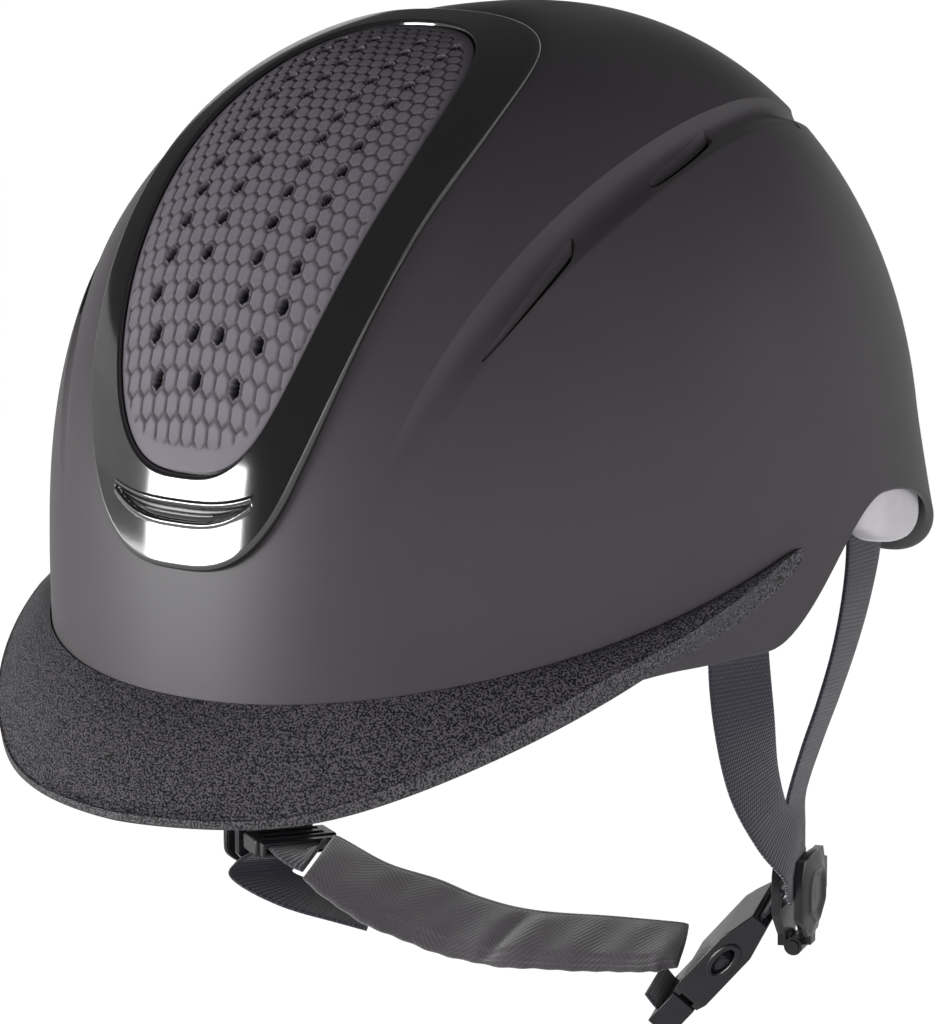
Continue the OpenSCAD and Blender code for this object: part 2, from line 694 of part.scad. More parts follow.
// Places of the strap dividers, both given for the left side, and their turn about Z
divider_left_at = [85.2 + spread, 31, -58];
divider_right_at = [85.6 + spread, 4, -62];
divider_turn = 20;
function in_divider(place, p) = place + turn_z(p, divider_turn);
level = turn_z([0, 1, 0], divider_turn);
slant_left = turn_z([0, 0.78, 0.62], divider_turn);
slant_right = turn_z([0, 0.97, 0.24], divider_turn);
front_route_left = [
  each spread_out([
    [100, -21, 45], [99.5, -18.5, 32], [97, -15, 18], [96, -11, 1], [93, -2, -18], [91.8, 8.5, -33]
  ]),
  in_divider(divider_left_at, [1.3, -13.5, 16]),
  in_divider(divider_left_at, [1.1, -9, 11]),
  in_divider(divider_left_at, [1, -5, 6.6])
];
front_across_left = [
  [0.12, 0.99, 0], [0.16, 0.98, 0], [0.3, 0.95, 0], [0.3, 0.95, 0.1], [0.1, 0.93, 0.28],
    [-0.16, 0.88, 0.42],
  slant_left, slant_left, slant_left
];
front_route_right = [
  each spread_out([
    [100, -21, 45], [99.5, -18.5, 32], [97, -15, 18], [96, -13, 1], [94, -11, -18], [91.6, -7, -34]
  ]),
  in_divider(divider_right_at, [1.3, -6, 19]),
  in_divider(divider_right_at, [1.1, -4, 13]),
  in_divider(divider_right_at, [1, -3, 7])
];
front_across_right = [
  [0.12, 0.99, 0], [0.16, 0.98, 0], [0.25, 0.96, 0], [0.12, 0.98, 0.1], [-0.08, 0.97, 0.18],
    [-0.26, 0.94, 0.2],
  slant_right, slant_right, slant_right
];
rear_route_left = [
  each spread_out([
    [90, 66, 52], [90, 63.2, 36], [90, 54, 22.6], [89.5, 46.5, 9.5], [89, 39, -3.5], [87, 34, -16],
    [84.6, 30.3, -30]
  ]),
  in_divider(divider_left_at, [-1.1, 0, 18]),
  in_divider(divider_left_at, [-1.1, 0, 13]),
  in_divider(divider_left_at, [-1.1, 0, 6.5])
];
rear_across_left = [
  [-0.38, 0.92, 0], [-0.38, 0.92, 0], [-0.46, 0.84, -0.2], [-0.5, 0.8, -0.24], [-0.5, 0.8, -0.24],
  [-0.45, 0.86, -0.16], [-0.38, 0.92, -0.06], level, level, level
];
rear_route_right = [
  each spread_out([
    [90, 66, 52], [90, 63.2, 36], [90, 53, 22.6], [89.5, 42, 7], [89, 30, -9], [86.6, 18.5, -24],
    [82, 10, -36]
  ]),
  in_divider(divider_right_at, [-1.2, 2, 18]),
  in_divider(divider_right_at, [-1.1, 0.5, 12]),
  in_divider(divider_right_at, [-1.1, 0, 6.5])
];
rear_across_right = [
  [-0.38, 0.92, 0], [-0.38, 0.92, 0], [-0.46, 0.84, -0.2], [-0.5, 0.8, -0.24], [-0.5, 0.8, -0.3],
  [-0.42, 0.86, -0.28], [-0.36, 0.91, -0.12], level, level, level
];
module strap(route, across, side) {
  color([0.07, 0.07, 0.07]) band([for (p = route) mirrored(p, side)],
    [for (p = across) mirrored(p, side)], web_w, web_t);
}
module front_strap_left() {
  strap(front_route_left, front_across_left, 1);
}
module front_strap_right() {
  strap(front_route_right, front_across_right, -1);
}
module rear_strap_left() {
  strap(rear_route_left, rear_across_left, 1);
}
module rear_strap_right() {
  strap(rear_route_right, rear_across_right, -1);
}

// Hidden anchors: a plate behind each strap end, with a rivet through it
rear_turn = 22;
anchor_t = 1;
rivet_r = 2.4;
rivet_head_r = 3.6;
anchors = [[[99.8 + spread, -20.3, 41], -7], [[90 + spread, 65.2, 47], rear_turn]];
module at_anchors() {
  for (a = anchors) for (side = [-1, 1])
    mirror([side < 0 ? 1 : 0, 0, 0]) translate(a[0]) rotate([0, 0, a[1]]) children();
}
anchor_x = -web_t / 2 - web_gap - anchor_t;
module anchor_plates() {
  color([0.5, 0.5, 0.52]) at_anchors() difference() {
    translate([anchor_x, -8, -5]) cube([anchor_t, 16, 10]);
    translate([anchor_x - 1, 0, 0]) rotate([0, 90, 0]) cylinder(r = rivet_r + pin_gap, h = anchor_t + 2);
  }
}
module anchor_rivets() {
  color([0.6, 0.6, 0.62]) at_anchors() rotate([0, 90, 0]) union() {
    translate([0, 0, anchor_x]) cylinder(r = rivet_r, h = anchor_t);
    translate([0, 0, anchor_x - 0.8]) cylinder(r = rivet_head_r, h = 0.8);
  }
}

// Strap divider: a base plate and a clamp lever, hinged at the pointed lower end
knuckle_r = 2.6;
knuckle_half = 5.4;
lever_half = 2.6;
hinge_drop = 13.4;
divider_space = 4;
divider_top = 12;
web_window = [-1.6, 4.8];
divider_outline = [
  [-divider_w / 2 + 2, divider_top], [divider_w / 2 - 2, divider_top], [divider_w / 2, divider_top - 4],
    [divider_w / 2, -3],
  [knuckle_half, -hinge_drop + knuckle_r + 0.4], [-knuckle_half, -hinge_drop + knuckle_r + 0.4],
  [-divider_w / 2, -3], [-divider_w / 2, divider_top - 4]
];
module at_divider(place, side) {
  mirror([side < 0 ? 1 : 0, 0, 0]) translate(place) rotate([0, 0, divider_turn]) children();
}
module divider_plate(x) {
  translate([x, 0, 0]) rotate([90, 0, 90]) linear_extrude(divider_t) polygon(divider_outline);
}
module divider_knuckle(y0, y1, x) {
  difference() {
    union() {
      translate([0, y0, -hinge_drop]) rotate([-90, 0, 0]) cylinder(r = knuckle_r, h = y1 - y0);
      translate([x, y0, -hinge_drop]) cube([divider_t, y1 - y0, knuckle_r + 1]);
    }
    translate([0, y0 - 1, -hinge_drop]) rotate([-90, 0, 0])
      cylinder(r = divider_pin_r + pin_gap, h = y1 - y0 + 2);
  }
}
module divider_base(place, side) {
  plate_x = -divider_space / 2 - divider_t;
  color([0.05, 0.05, 0.05]) at_divider(place, side) union() {
    difference() {
      divider_plate(plate_x);
      translate([plate_x - 1, -web_w / 2 - web_gap, web_window[0]])
        cube([divider_t + 2, web_w + 2 * web_gap, web_window[1] - web_window[0]]);
    }
    divider_knuckle(lever_half + slide_gap, knuckle_half, plate_x);
    divider_knuckle(-knuckle_half, -lever_half - slide_gap, plate_x);
  }
}
module divider_base_left() {
  divider_base(divider_left_at, 1);
}
module divider_base_right() {
  divider_base(divider_right_at, -1);
}
module divider_lever(place, side) {
  color([0.05, 0.05, 0.05]) at_divider(place, side) union() {
    divider_plate(divider_space / 2);
    divider_knuckle(-lever_half, lever_half, divider_space / 2);
    translate([divider_space / 2, divider_w / 2 - 1, -1]) cube([divider_t, 3.6, 9]);
  }
}
module divider_lever_left() {
  divider_lever(divider_left_at, 1);
}
module divider_lever_right() {
  divider_lever(divider_right_at, -1);
}
module divider_pin(place, side) {
  color([0.55, 0.55, 0.57]) at_divider(place, side) translate([0, 0, -hinge_drop]) rotate([-90, 0, 0])
    union() {
    translate([0, 0, -knuckle_half]) cylinder(r = divider_pin_r, h = 2 * knuckle_half);
    translate([0, 0, -knuckle_half - 0.8]) cylinder(r = divider_pin_r + 0.7, h = 0.8);
  }
}
module divider_pin_left() {
  divider_pin(divider_left_at, 1);
}
module divider_pin_right() {
  divider_pin(divider_right_at, -1);
}

// The buckle lies along a slanted line. In its own frame it points down, with its width along X.
buckle_at = [77.1 + spread, 26.9, -62.4];
buckle_yaw = 10.7;
buckle_pitch = 41.75;
buckle_roll = -75.5;
function turn_y(p, a) = [p[0] * cos(a) + p[2] * sin(a), p[1], p[2] * cos(a) - p[0] * sin(a)];
function buckle_way(p) = turn_z(turn_y(turn_z(p, buckle_roll), buckle_pitch), buckle_yaw);
function buckle_point(p) = buckle_at + buckle_way(p);
module in_buckle() {
  translate(buckle_at) rotate([0, 0, buckle_yaw]) rotate([0, buckle_pitch, 0])
    rotate([0, 0, buckle_roll]) children();
}

cavity_w = buckle_w - 5.4;
cavity_t = 5.4;
prong_t = 3.6;
head_x = buckle_w / 2 - 0.9;
window_high = -9;
window_low = -19;
socket_top = 2;
web_slot = [web_w + 2 * web_gap, web_t + 2 * web_gap, 7];
module buckle_socket() {
  color([0.05, 0.05, 0.05]) in_buckle() difference() {
    intersection() {
      translate([0, buckle_t / 2, 0]) rotate([90, 0, 0]) linear_extrude(buckle_t) polygon([
        [-buckle_w / 2 + 2, socket_top], [buckle_w / 2 - 2, socket_top], [buckle_w / 2, -4],
          [buckle_w / 2, -socket_len + 3],
        [buckle_w / 2 - 1.2, -socket_len], [-buckle_w / 2 + 1.2, -socket_len],
          [-buckle_w / 2, -socket_len + 3], [-buckle_w / 2, -4]
      ]);
      translate([-buckle_w / 2 - 1, 0, 0]) rotate([90, 0, 90]) linear_extrude(buckle_w + 2) polygon([
        [-buckle_t / 2 + 2.4, socket_top], [buckle_t / 2 - 2.4, socket_top], [buckle_t / 2, -8],
          [buckle_t / 2, -socket_len + 4],
        [buckle_t / 2 - 0.8, -socket_len], [-buckle_t / 2 + 0.8, -socket_len],
          [-buckle_t / 2, -socket_len + 4], [-buckle_t / 2, -8]
      ]);
    }
    translate([0, 0, socket_top - web_slot[2] / 2 + 1]) cube(web_slot, center = true);
    translate([0, 0, -socket_len / 2 - 4]) cube([cavity_w, cavity_t, socket_len - 7], center = true);
    translate([0, 0, (window_high - socket_len - 1) / 2])
      cube([2 * (head_x + slide_gap), prong_t + 2 * slide_gap,
        socket_len + 1 + window_high], center = true);
    translate([0, 0, (window_high + window_low) / 2])
      cube([buckle_w + 4, prong_t + 2 * slide_gap, window_high - window_low], center = true);
  }
}

// Tongue of the buckle, with a guide blade between its two prongs
tongue_top = -socket_len - layer_gap;
tongue_len = 12;
prong_x = 8.4;
prong_root_z = tongue_top - 2;
tongue_slot_z = tongue_top - tongue_len + 3.4;
module buckle_tongue() {
  color([0.05, 0.05, 0.05]) in_buckle() difference() {
    union() {
      translate([0, 0, tongue_top - tongue_len / 2])
        cube([buckle_w - 2, buckle_t - 2.4, tongue_len], center = true);
      translate([0, 0, (tongue_top - 9) / 2]) cube([5, 3, -tongue_top - 8], center = true);
    }
    for (s = [-1, 1]) translate([s * prong_x, 0, prong_root_z + 1])
      cube([4.4, prong_t + 2 * slide_gap, 6.4], center = true);
    translate([0, 0, tongue_slot_z]) cube([web_w + 2 * web_gap, buckle_t, 3], center = true);
  }
}

// A prong bends at its root, and its head stands in the socket's window
module prong(s) {
  color([0.05, 0.05, 0.05]) in_buckle() mirror([s < 0 ? 1 : 0, 0, 0]) union() {
    translate([prong_x, 0, prong_root_z]) rotate([90, 0, 0]) cylinder(r = 1.1, h = prong_t, center = true);
    translate([prong_x, 0, 0]) rotate([90, 0, 0]) linear_extrude(prong_t, center = true) polygon([
      [-1.1, prong_root_z], [1.1, prong_root_z], [1.4, -22], [head_x - prong_x, -18.5],
        [head_x - prong_x, -13], [1, -10.5], [-0.8, -10.5], [-0.6, -20]
    ]);
  }
}
module prong_front() {
  prong(1);
}
module prong_rear() {
  prong(-1);
}

// Short webbing from the divider to the socket
module buckle_web() {
  color([0.07, 0.07, 0.07]) band(
    [
      in_divider(divider_left_at, [-0.9, 0.2, 3.6]), in_divider(divider_left_at, [-3.2, 0.3, 2]),
      buckle_point([0, 0, 4.6]), buckle_point([0, 0, 1]), buckle_point([0, 0, -2])
    ],
    [
      -level, -level, buckle_way([1, 0, 0]), buckle_way([1, 0, 0]), buckle_way([1, 0, 0])
    ],
    web_w - 1,
    web_t
  );
}

// Chin pad: a folded sleeve along the chin, given by its upper and lower edge
pad_upper = spread_chin([
  [-56, -1, -56], [-43, 7, -64], [-28, 13, -68], [-15, 17, -72], [-1, 20, -74], [17, 30, -75], [40, 42, -76]
]);
pad_lower = spread_chin([
  [-48, -25, -63], [-37, -17, -74], [-24, -9, -81], [-7, -4, -85], [11, 0, -85], [31, 11, -85],
    [52, 19, -83]
]);
pad_steps = 3;
pad_sides = 12;
module chin_pad() {
  upper = curve(pad_upper, pad_steps);
  lower = curve(pad_lower, pad_steps);
  last = len(upper) - 1;
  color([0.13, 0.13, 0.14]) loft([
    for (i = [0:last])
      let (middle = (upper[i] + lower[i]) / 2)
      let (next = (upper[min(i + 1, last)] + lower[min(i + 1, last)]) / 2)
      let (before = (upper[max(i - 1, 0)] + lower[max(i - 1, 0)]) / 2)
      let (close = i == 0 || i == last ? 0.55 : 1)
      let (x = (upper[i] - lower[i]) / 2 * (close < 1 ? 0.9 : 1))
      let (y = unit(cross(next - before, upper[i] - lower[i])) * chin_pad_t / 2 * close)
      [
        for (k = [0:pad_sides - 1])
          let (a = 360 * (k + 0.5) / pad_sides)
          middle + x * bent(cos(a), 0.6) + y * bent(sin(a), 0.8)
      ]
  ]);
}

// Webbing from the tongue to the pad
module chin_web_left() {
  across = buckle_way([1, 0, 0]);
  color([0.07, 0.07, 0.07]) band(
    [
      buckle_point([0, 3.4, tongue_slot_z]), buckle_point([0, 0, tongue_slot_z]),
        buckle_point([0, -4.4, tongue_slot_z]),
      buckle_point([0, -9, tongue_slot_z + 1])
    ],
    [across, across, across, across],
    web_w,
    web_t
  );
}

// Webbing from the pad to the divider on the other side. Its middle is straight, along one direction.
right_web_from = [-53.4 - spread, -13.8, -59.2];
right_web_to = mirrored(in_divider(divider_right_at, [-7, 0, 2]), -1);
right_web_along = right_web_to - right_web_from;
right_web_yaw = atan2(-right_web_along[1], -right_web_along[0]);
right_web_pitch = asin(right_web_along[2] / norm(right_web_along));
right_web_across = [-sin(right_web_yaw), cos(right_web_yaw), 0];
module on_right_web(share) {
  translate(mix(right_web_from, right_web_to, share)) rotate([0, 0, right_web_yaw])
    rotate([0, right_web_pitch, 0]) children();
}
module chin_web_right() {
  tail_across = [-0.5, 0.8, 0.1];
  tail_route = [
    [-75.5, -1.5, -63.4], [-79, -5, -66.5], [-79, -7, -70.5], [-70, -2.5, -75.5], [-60, 3, -79.5],
      [-50, 8, -82]
  ];
  color([0.07, 0.07, 0.07]) {
    right_web();
    band(
      [for (p = tail_route) [p[0] - spread, p[1], p[2]]],
      [right_web_across, right_web_across, right_web_across, [0, 0.98, 0.1], tail_across, tail_across],
      web_w - 1,
      web_t
    );
  }
}
module right_web() {
  band(
    [
      right_web_from, mix(right_web_from, right_web_to, 0.33), mix(right_web_from, right_web_to, 0.66),
        right_web_to,
      mirrored(in_divider(divider_right_at, [-3.2, 0, 2]), -1),
        mirrored(in_divider(divider_right_at, [-0.9, 0, 2]), -1)
    ],
    [
      unit(pad_upper[0] - pad_lower[0]), right_web_across, right_web_across, right_web_across,
      mirrored(level, -1), mirrored(level, -1)
    ],
    web_w - 1,
    web_t
  );
}

// Ladder slider and keeper on that webbing
module ladder_slider() {
  color([0.05, 0.05, 0.05]) on_right_web(0.7) difference() {
    cube([12, web_w + 5, 5], center = true);
    cube([14, web_w + 2 * web_gap, web_t + 2 * web_gap], center = true);
    for (x = [-3, 3]) translate([x, 0, 0]) cube([2.6, web_w - 2, 9], center = true);
  }
}
module strap_keeper() {
  color([0.08, 0.08, 0.08]) on_right_web(0.43) difference() {
    cube([4, web_w + 3.4, web_t + 2 * web_gap + 2], center = true);
    cube([6, web_w + 2 * web_gap, web_t + 2 * web_gap], center = true);
  }
}

// Headband arms from the temple studs round to the nape
arm_t = 1.5;
arm_d = pad_out - 1;
function arm_z(a) = 45 - 19 * smooth((a - 120) / 38);
module headband(side) {
  stations = [for (i = [0:14]) 64 + i * 6.2];
  color([0.12, 0.12, 0.12]) loft([
    for (a = stations)
      let (half = 6 - smooth((a - 120) / 30))
      let (d = arm_d - 4 * smooth((a - 110) / 40))
      [
        at(side * a, arm_z(a) - half, d),
        at(side * a, arm_z(a) + half, d),
        at(side * a, arm_z(a) + half, d - arm_t),
        at(side * a, arm_z(a) - half, d - arm_t)
      ]
  ]);
}
module headband_left() {
  headband(1);
}
module headband_right() {
  headband(-1);
}
module temple_studs() {
  color([0.12, 0.12, 0.12]) for (side = [-1, 1]) spot(side * 72, 45, 4, arm_d + layer_gap,
    liner_in - foam_gap);
}

// Fit dial at the nape. Its axis runs along Y.
dial_z = 8;
dial_h = 8;
spindle_r = 2;
hub_r = 3;
screw_r = 1.05;
screw_inset = 6;
hanger_top = 66;
housing_y = 103;
housing_t = 10;
housing_h = 26;
wall = 1.6;
cover_t = 1.6;
rack_h = 5;
rack_reach = 15;
rack_len = 40;
tooth_h = 1.7;
pitch = 2 * PI * pinion_r / pinion_teeth;
rack_y = housing_y + cover_t + layer_gap;
module nape_hanger() {
  color([0.12, 0.12, 0.12]) translate([0, housing_y + 3, (dial_z + housing_h / 2 + hanger_top) / 2])
    cube([18, arm_t, hanger_top - dial_z - housing_h / 2], center = true);
}
module dial_housing() {
  inner = [housing_w + 2, housing_t - cover_t - wall,
    2 * (pinion_r + tooth_h / 2 + rack_h) + 2 * slide_gap];
  color([0.08, 0.08, 0.08]) difference() {
    translate([0, housing_y + housing_t / 2, dial_z])
      cube([housing_w, housing_t, housing_h], center = true);
    translate([0, housing_y + cover_t + inner[1] / 2, dial_z]) cube(inner, center = true);
    translate([0, housing_y + cover_t / 2 - 0.5, dial_z])
      cube([housing_w - 2 * wall, cover_t + 1 + 0.02, housing_h - 2 * wall], center = true);
    translate([0, housing_y, dial_z]) rotate([-90, 0, 0]) cylinder(r = hub_r + pin_gap, h = housing_t + 2);
  }
}
module housing_cover() {
  color([0.1, 0.1, 0.1]) difference() {
    translate([0, housing_y + cover_t / 2, dial_z])
      cube([housing_w - 2 * wall - 2 * slide_gap, cover_t,
        housing_h - 2 * wall - 2 * slide_gap], center = true);
    for (x = [-1, 1]) translate([x * (housing_w / 2 - screw_inset), housing_y - 1, dial_z])
      rotate([-90, 0, 0]) cylinder(r = screw_r + pin_gap, h = cover_t + 2);
  }
}
module cover_screws() {
  color([0.6, 0.6, 0.62]) for (x = [-1, 1])
    translate([x * (housing_w / 2 - screw_inset), housing_y, dial_z]) rotate([-90, 0, 0]) union() {
    cylinder(r = screw_r, h = cover_t);
    translate([0, 0, -0.8]) cylinder(r = 2, h = 0.8);
  }
}

// Pinion and racks: thin teeth with free play on both sides
module pinion() {
  w = 3;
  color([0.85, 0.84, 0.8]) translate([0, rack_y, dial_z]) rotate([-90, 0, 0]) difference() {
    union() {
      cylinder(r = pinion_r - tooth_h / 2 + 0.1, h = w);
      for (i = [0:pinion_teeth - 1]) rotate([0, 0, i * 360 / pinion_teeth]) linear_extrude(w) polygon([
        [pinion_r - tooth_h / 2 - 0.6, -0.75], [pinion_r + tooth_h / 2, -0.32],
          [pinion_r + tooth_h / 2, 0.32], [pinion_r - tooth_h / 2 - 0.6, 0.75]
      ]);
    }
    translate([0, 0, -1]) cylinder(r = spindle_r + pin_gap, h = w + 2);
  }
}
module rack(side) {
  teeth = floor(2 * rack_reach / pitch / 2);
  color([0.8, 0.8, 0.78]) translate([0, rack_y, dial_z]) rotate([0, side < 0 ? 180 : 0, 0]) union() {
    translate([-rack_reach, 0, pinion_r + tooth_h / 2 + 0.3])
      cube([rack_len + rack_reach, rack_t, rack_h - 0.6]);
    for (i = [-teeth:teeth]) translate([i * pitch, rack_t, 0]) rotate([90, 0, 0]) linear_extrude(rack_t)
      polygon([
      [-0.75, pinion_r + tooth_h / 2 + 0.6], [-0.3, pinion_r - tooth_h / 2 + 0.3],
        [0.3, pinion_r - tooth_h / 2 + 0.3], [0.75, pinion_r + tooth_h / 2 + 0.6]
    ]);
  }
}
module rack_left() {
  rack(1);
}
module rack_right() {
  rack(-1);
}
module adjuster_dial() {
  grips = 18;
  color([0.07, 0.07, 0.07]) translate([0, 0, dial_z]) rotate([-90, 0, 0]) union() {
    translate([0, 0, rack_y]) cylinder(r = spindle_r, h = housing_y + housing_t - rack_y + 1);
    translate([0, 0, rack_y + 3.4]) cylinder(r = hub_r, h = housing_y + housing_t - rack_y - 2);
    difference() {
      translate([0, 0, housing_y + housing_t + layer_gap]) cylinder(r = dial_d / 2, h = dial_h);
      for (i = [0:grips - 1]) rotate([0, 0, i * 360 / grips])
        translate([dial_d / 2 + 0.6, 0, housing_y + housing_t]) cylinder(r = 1.4, h = dial_h + 2);
    }
  }
}
module nape_pad() {
  nape_w = housing_w - 20;
  nape_h = 20;
  function place(i, j, y) = [nape_w * (i / 8 - 0.5), y, dial_z + nape_h * (j / 4 - 0.5)];
  function swell(i, j) = pow(sin(180 * i / 8), 0.4) * pow(sin(180 * j / 4), 0.5);
  color([0.09, 0.09, 0.1]) plate(
    [for (j = [0:4]) [for (i = [0:8]) place(i, j, housing_y - layer_gap)]],
    [for (j = [0:4]) [for (i = [0:8]) place(i, j, housing_y - layer_gap - 1.2 - 3.4 * swell(i, j))]]
  );
}

outer_shell();
impact_liner();
rim_trim();
visor();
front_frame();
accent_bar();
vent_panel();
side_vent_left();
side_vent_right();
nape_bolster();
brow_pad();
crown_pad();
side_pads();
hook_dots();
anchor_plates();
anchor_rivets();
front_strap_left();
front_strap_right();
rear_strap_left();
rear_strap_right();
divider_base_left();
divider_base_right();
divider_lever_left();
divider_lever_right();
divider_pin_left();
divider_pin_right();
buckle_web();
buckle_socket();
buckle_tongue();
prong_front();
prong_rear();
chin_web_left();
chin_web_right();
ladder_slider();
strap_keeper();
chin_pad();
headband_left();
headband_right();
temple_studs();
nape_hanger();
dial_housing();
housing_cover();
cover_screws();
adjuster_dial();
pinion();
rack_left();
rack_right();
nape_pad();
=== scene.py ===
"""Riding helmet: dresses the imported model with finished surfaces, fabrics, camera and studio light."""

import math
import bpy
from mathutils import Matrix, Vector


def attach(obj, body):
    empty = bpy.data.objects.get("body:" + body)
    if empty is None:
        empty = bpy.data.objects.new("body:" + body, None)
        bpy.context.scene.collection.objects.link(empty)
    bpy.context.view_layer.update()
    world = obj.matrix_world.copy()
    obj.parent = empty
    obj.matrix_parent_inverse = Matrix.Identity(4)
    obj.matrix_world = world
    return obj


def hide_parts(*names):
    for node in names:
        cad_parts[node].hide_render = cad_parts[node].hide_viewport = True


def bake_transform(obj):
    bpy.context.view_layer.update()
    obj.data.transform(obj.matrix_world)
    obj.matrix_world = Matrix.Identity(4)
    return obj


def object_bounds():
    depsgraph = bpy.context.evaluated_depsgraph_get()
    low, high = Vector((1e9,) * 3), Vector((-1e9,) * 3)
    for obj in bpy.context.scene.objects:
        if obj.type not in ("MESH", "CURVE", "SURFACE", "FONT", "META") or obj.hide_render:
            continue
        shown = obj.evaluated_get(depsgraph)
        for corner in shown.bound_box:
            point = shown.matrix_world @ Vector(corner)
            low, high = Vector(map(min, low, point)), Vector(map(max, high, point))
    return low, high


bl_info = {
    "name": "Riding Helmet",
    "version": (1, 0, 0),
    "blender": (4, 5, 0),
    "location": "3D View > Sidebar > Helmet",
    "description": "Builds the finished surfaces of a riding helmet over its packed solids",
    "category": "Object",
}

import bmesh
import bpy
import numpy as np
from bpy.props import FloatProperty, FloatVectorProperty, PointerProperty
from mathutils import Matrix, Vector

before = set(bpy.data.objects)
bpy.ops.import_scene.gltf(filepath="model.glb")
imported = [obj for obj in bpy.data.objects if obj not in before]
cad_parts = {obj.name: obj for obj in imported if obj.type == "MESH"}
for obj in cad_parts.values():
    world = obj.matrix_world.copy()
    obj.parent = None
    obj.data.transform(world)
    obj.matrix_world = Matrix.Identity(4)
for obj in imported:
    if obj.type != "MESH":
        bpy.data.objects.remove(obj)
cad_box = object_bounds()

RADIAN = 180 / math.pi


# ---------------------------------------------------------------- sizes and colours
def linear(code):
    """Linear colour of an sRGB hex code: c / 12.92 below 0.04045, else ((c + 0.055) / 1.055) to the power 2.4."""
    parts = [int(code[i : i + 2], 16) / 255 for i in (1, 3, 5)]
    return tuple(c / 12.92 if c <= 0.04045 else ((c + 0.055) / 1.055) ** 2.4 for c in parts)


def length(label, mm, text):
    """A length property with its default given in millimetres."""
    return FloatProperty(name=label, description=text, default=mm / 1000, min=0, precision=5, subtype="DISTANCE")


def colour(label, code, text):
    """A colour property with its default given as an sRGB hex code."""
    return FloatVectorProperty(
        name=label, description=text, default=linear(code), size=3, min=0, max=1, subtype="COLOR"
    )


class HelmetSizes(bpy.types.PropertyGroup):
    """Sizes of the helmet's forms"""

    half_w: length("Half width", 105.4, "Half of the shell's width at its widest level")
    front_len: length("Front reach", 127.2, "Reach of the shell in front of the origin")
    back_len: length("Back reach", 134.6, "Reach of the shell behind the origin")
    dome_h: length("Dome height", 137.2, "Height of the crown above the widest level")
    belt_z: length("Belt height", 49.7, "Height of the widest level")
    crown_shift: length("Crown shift", 18.9, "Shift of the crown towards the back")
    nape_flare: length("Nape flare", 4.35, "Outward flare of the nape")
    front_rake: length("Front rake", 5.95, "Forward lean of the forehead")
    shell_t: length("Shell wall", 2.2, "Wall of the shell")
    peak_reach: length("Peak reach", 27.5, "Reach of the visor in front of the shell")
    peak_drop: length("Peak drop", 12.8, "Depth of the visor's edge below the origin")
    peak_t: length("Peak edge", 3, "Thickness of the visor's edge")
    frame_t: length("Frame height", 2, "Raised height of the glossy frame")
    panel_t: length("Panel wall", 1.1, "Thickness of the vent panel")
    cell_w: length("Cell width", 4.4, "Width of one honeycomb cell of the vent panel")
    channel_depth: length("Channel depth", 3.2, "Depth of the side channels")
    slot_w: length("Slot width", 4.6, "Width of the side vent slots")
    foam_t: length("Foam", 24, "Thickness of the impact foam")
    pad_t: length("Pads", 6.5, "Thickness of the comfort pads")
    web_w: length("Webbing width", 20, "Width of the webbing")
    web_t: length("Webbing", 1.3, "Thickness of the webbing")
    chin_pad_t: length("Chin pad", 5.2, "Thickness of the chin pad")


class HelmetColours(bpy.types.PropertyGroup):
    """Colours of the helmet's finishes"""

    shell: colour("Shell", "#2b282b", "Soft-touch paint of the shell")
    visor: colour("Visor", "#2e2c2f", "Grained plastic of the visor")
    gloss: colour("Frame", "#0b0a0b", "Black mirror-bright coating of the frame")
    rubber: colour("Vent panel", "#504c52", "Rubber of the vent panel")
    insert: colour("Vent inserts", "#121113", "Glossy plastic behind the side slots")
    foam: colour("Foam", "#1b1b1c", "Moulded impact foam")
    lining: colour("Lining", "#1c1c1f", "Knitted cover of the comfort pads")
    satin: colour("Bolster", "#98959a", "Satin cover of the nape bolster")
    webbing: colour("Webbing", "#1c1c23", "Woven webbing")
    twill: colour("Chin pad", "#3b383b", "Twill of the chin pad")
    moulded: colour("Buckles", "#131215", "Moulded plastic of buckles and dial")
    metal: colour("Metal", "#b8b8ba", "Bright steel of rivets and pins")
    nylon: colour("Gears", "#aeaba3", "Natural nylon of the pinion and racks")


def mm(name):
    """A size of the property group, in millimetres."""
    return getattr(bpy.context.scene.helmet_sizes, name) * 1000


def tint(name):
    """A colour of the property group, with alpha."""
    return (*getattr(bpy.context.scene.helmet_colours, name), 1.0)


# ---------------------------------------------------------------- the helmet's skin
# Powers of the superellipse seen from above and from the side, how the second changes from front to back, and how
# much the skin draws in below its widest level.
PLAN_POWER = 2.314
SIDE_POWER = 2.207
SIDE_LEAN = -0.153
TUCK = 0.02


def sind(a):
    """Sine of an angle in degrees."""
    return np.sin(np.radians(a))


def cosd(a):
    """Cosine of an angle in degrees."""
    return np.cos(np.radians(a))


def smooth(v):
    """Smooth step: 3 v squared minus 2 v cubed, with v held between 0 and 1."""
    c = np.clip(v, 0, 1)
    return c * c * (3 - 2 * c)


def bent(v, p):
    """Signed power: the size of v to the power p, with the sign of v."""
    return np.sign(v) * np.abs(v) ** p


def mix(a, b, f):
    """Value at share f of the way from a to b."""
    return a * (1 - f) + b * f


def unit(v):
    """Vectors brought to length 1."""
    return v / np.maximum(np.linalg.norm(v, axis=-1, keepdims=True), 1e-9)


def crest_power(u):
    """Power of the side superellipse at turn u: it changes with the sine of the turn."""
    return SIDE_POWER + SIDE_LEAN * sind(u)


def plan_radius(c, s):
    """Radius of the plan superellipse of half axes 1 in the direction of cosine c and sine s."""
    return (np.abs(c) ** PLAN_POWER + np.abs(s) ** PLAN_POWER) ** (-1 / PLAN_POWER)


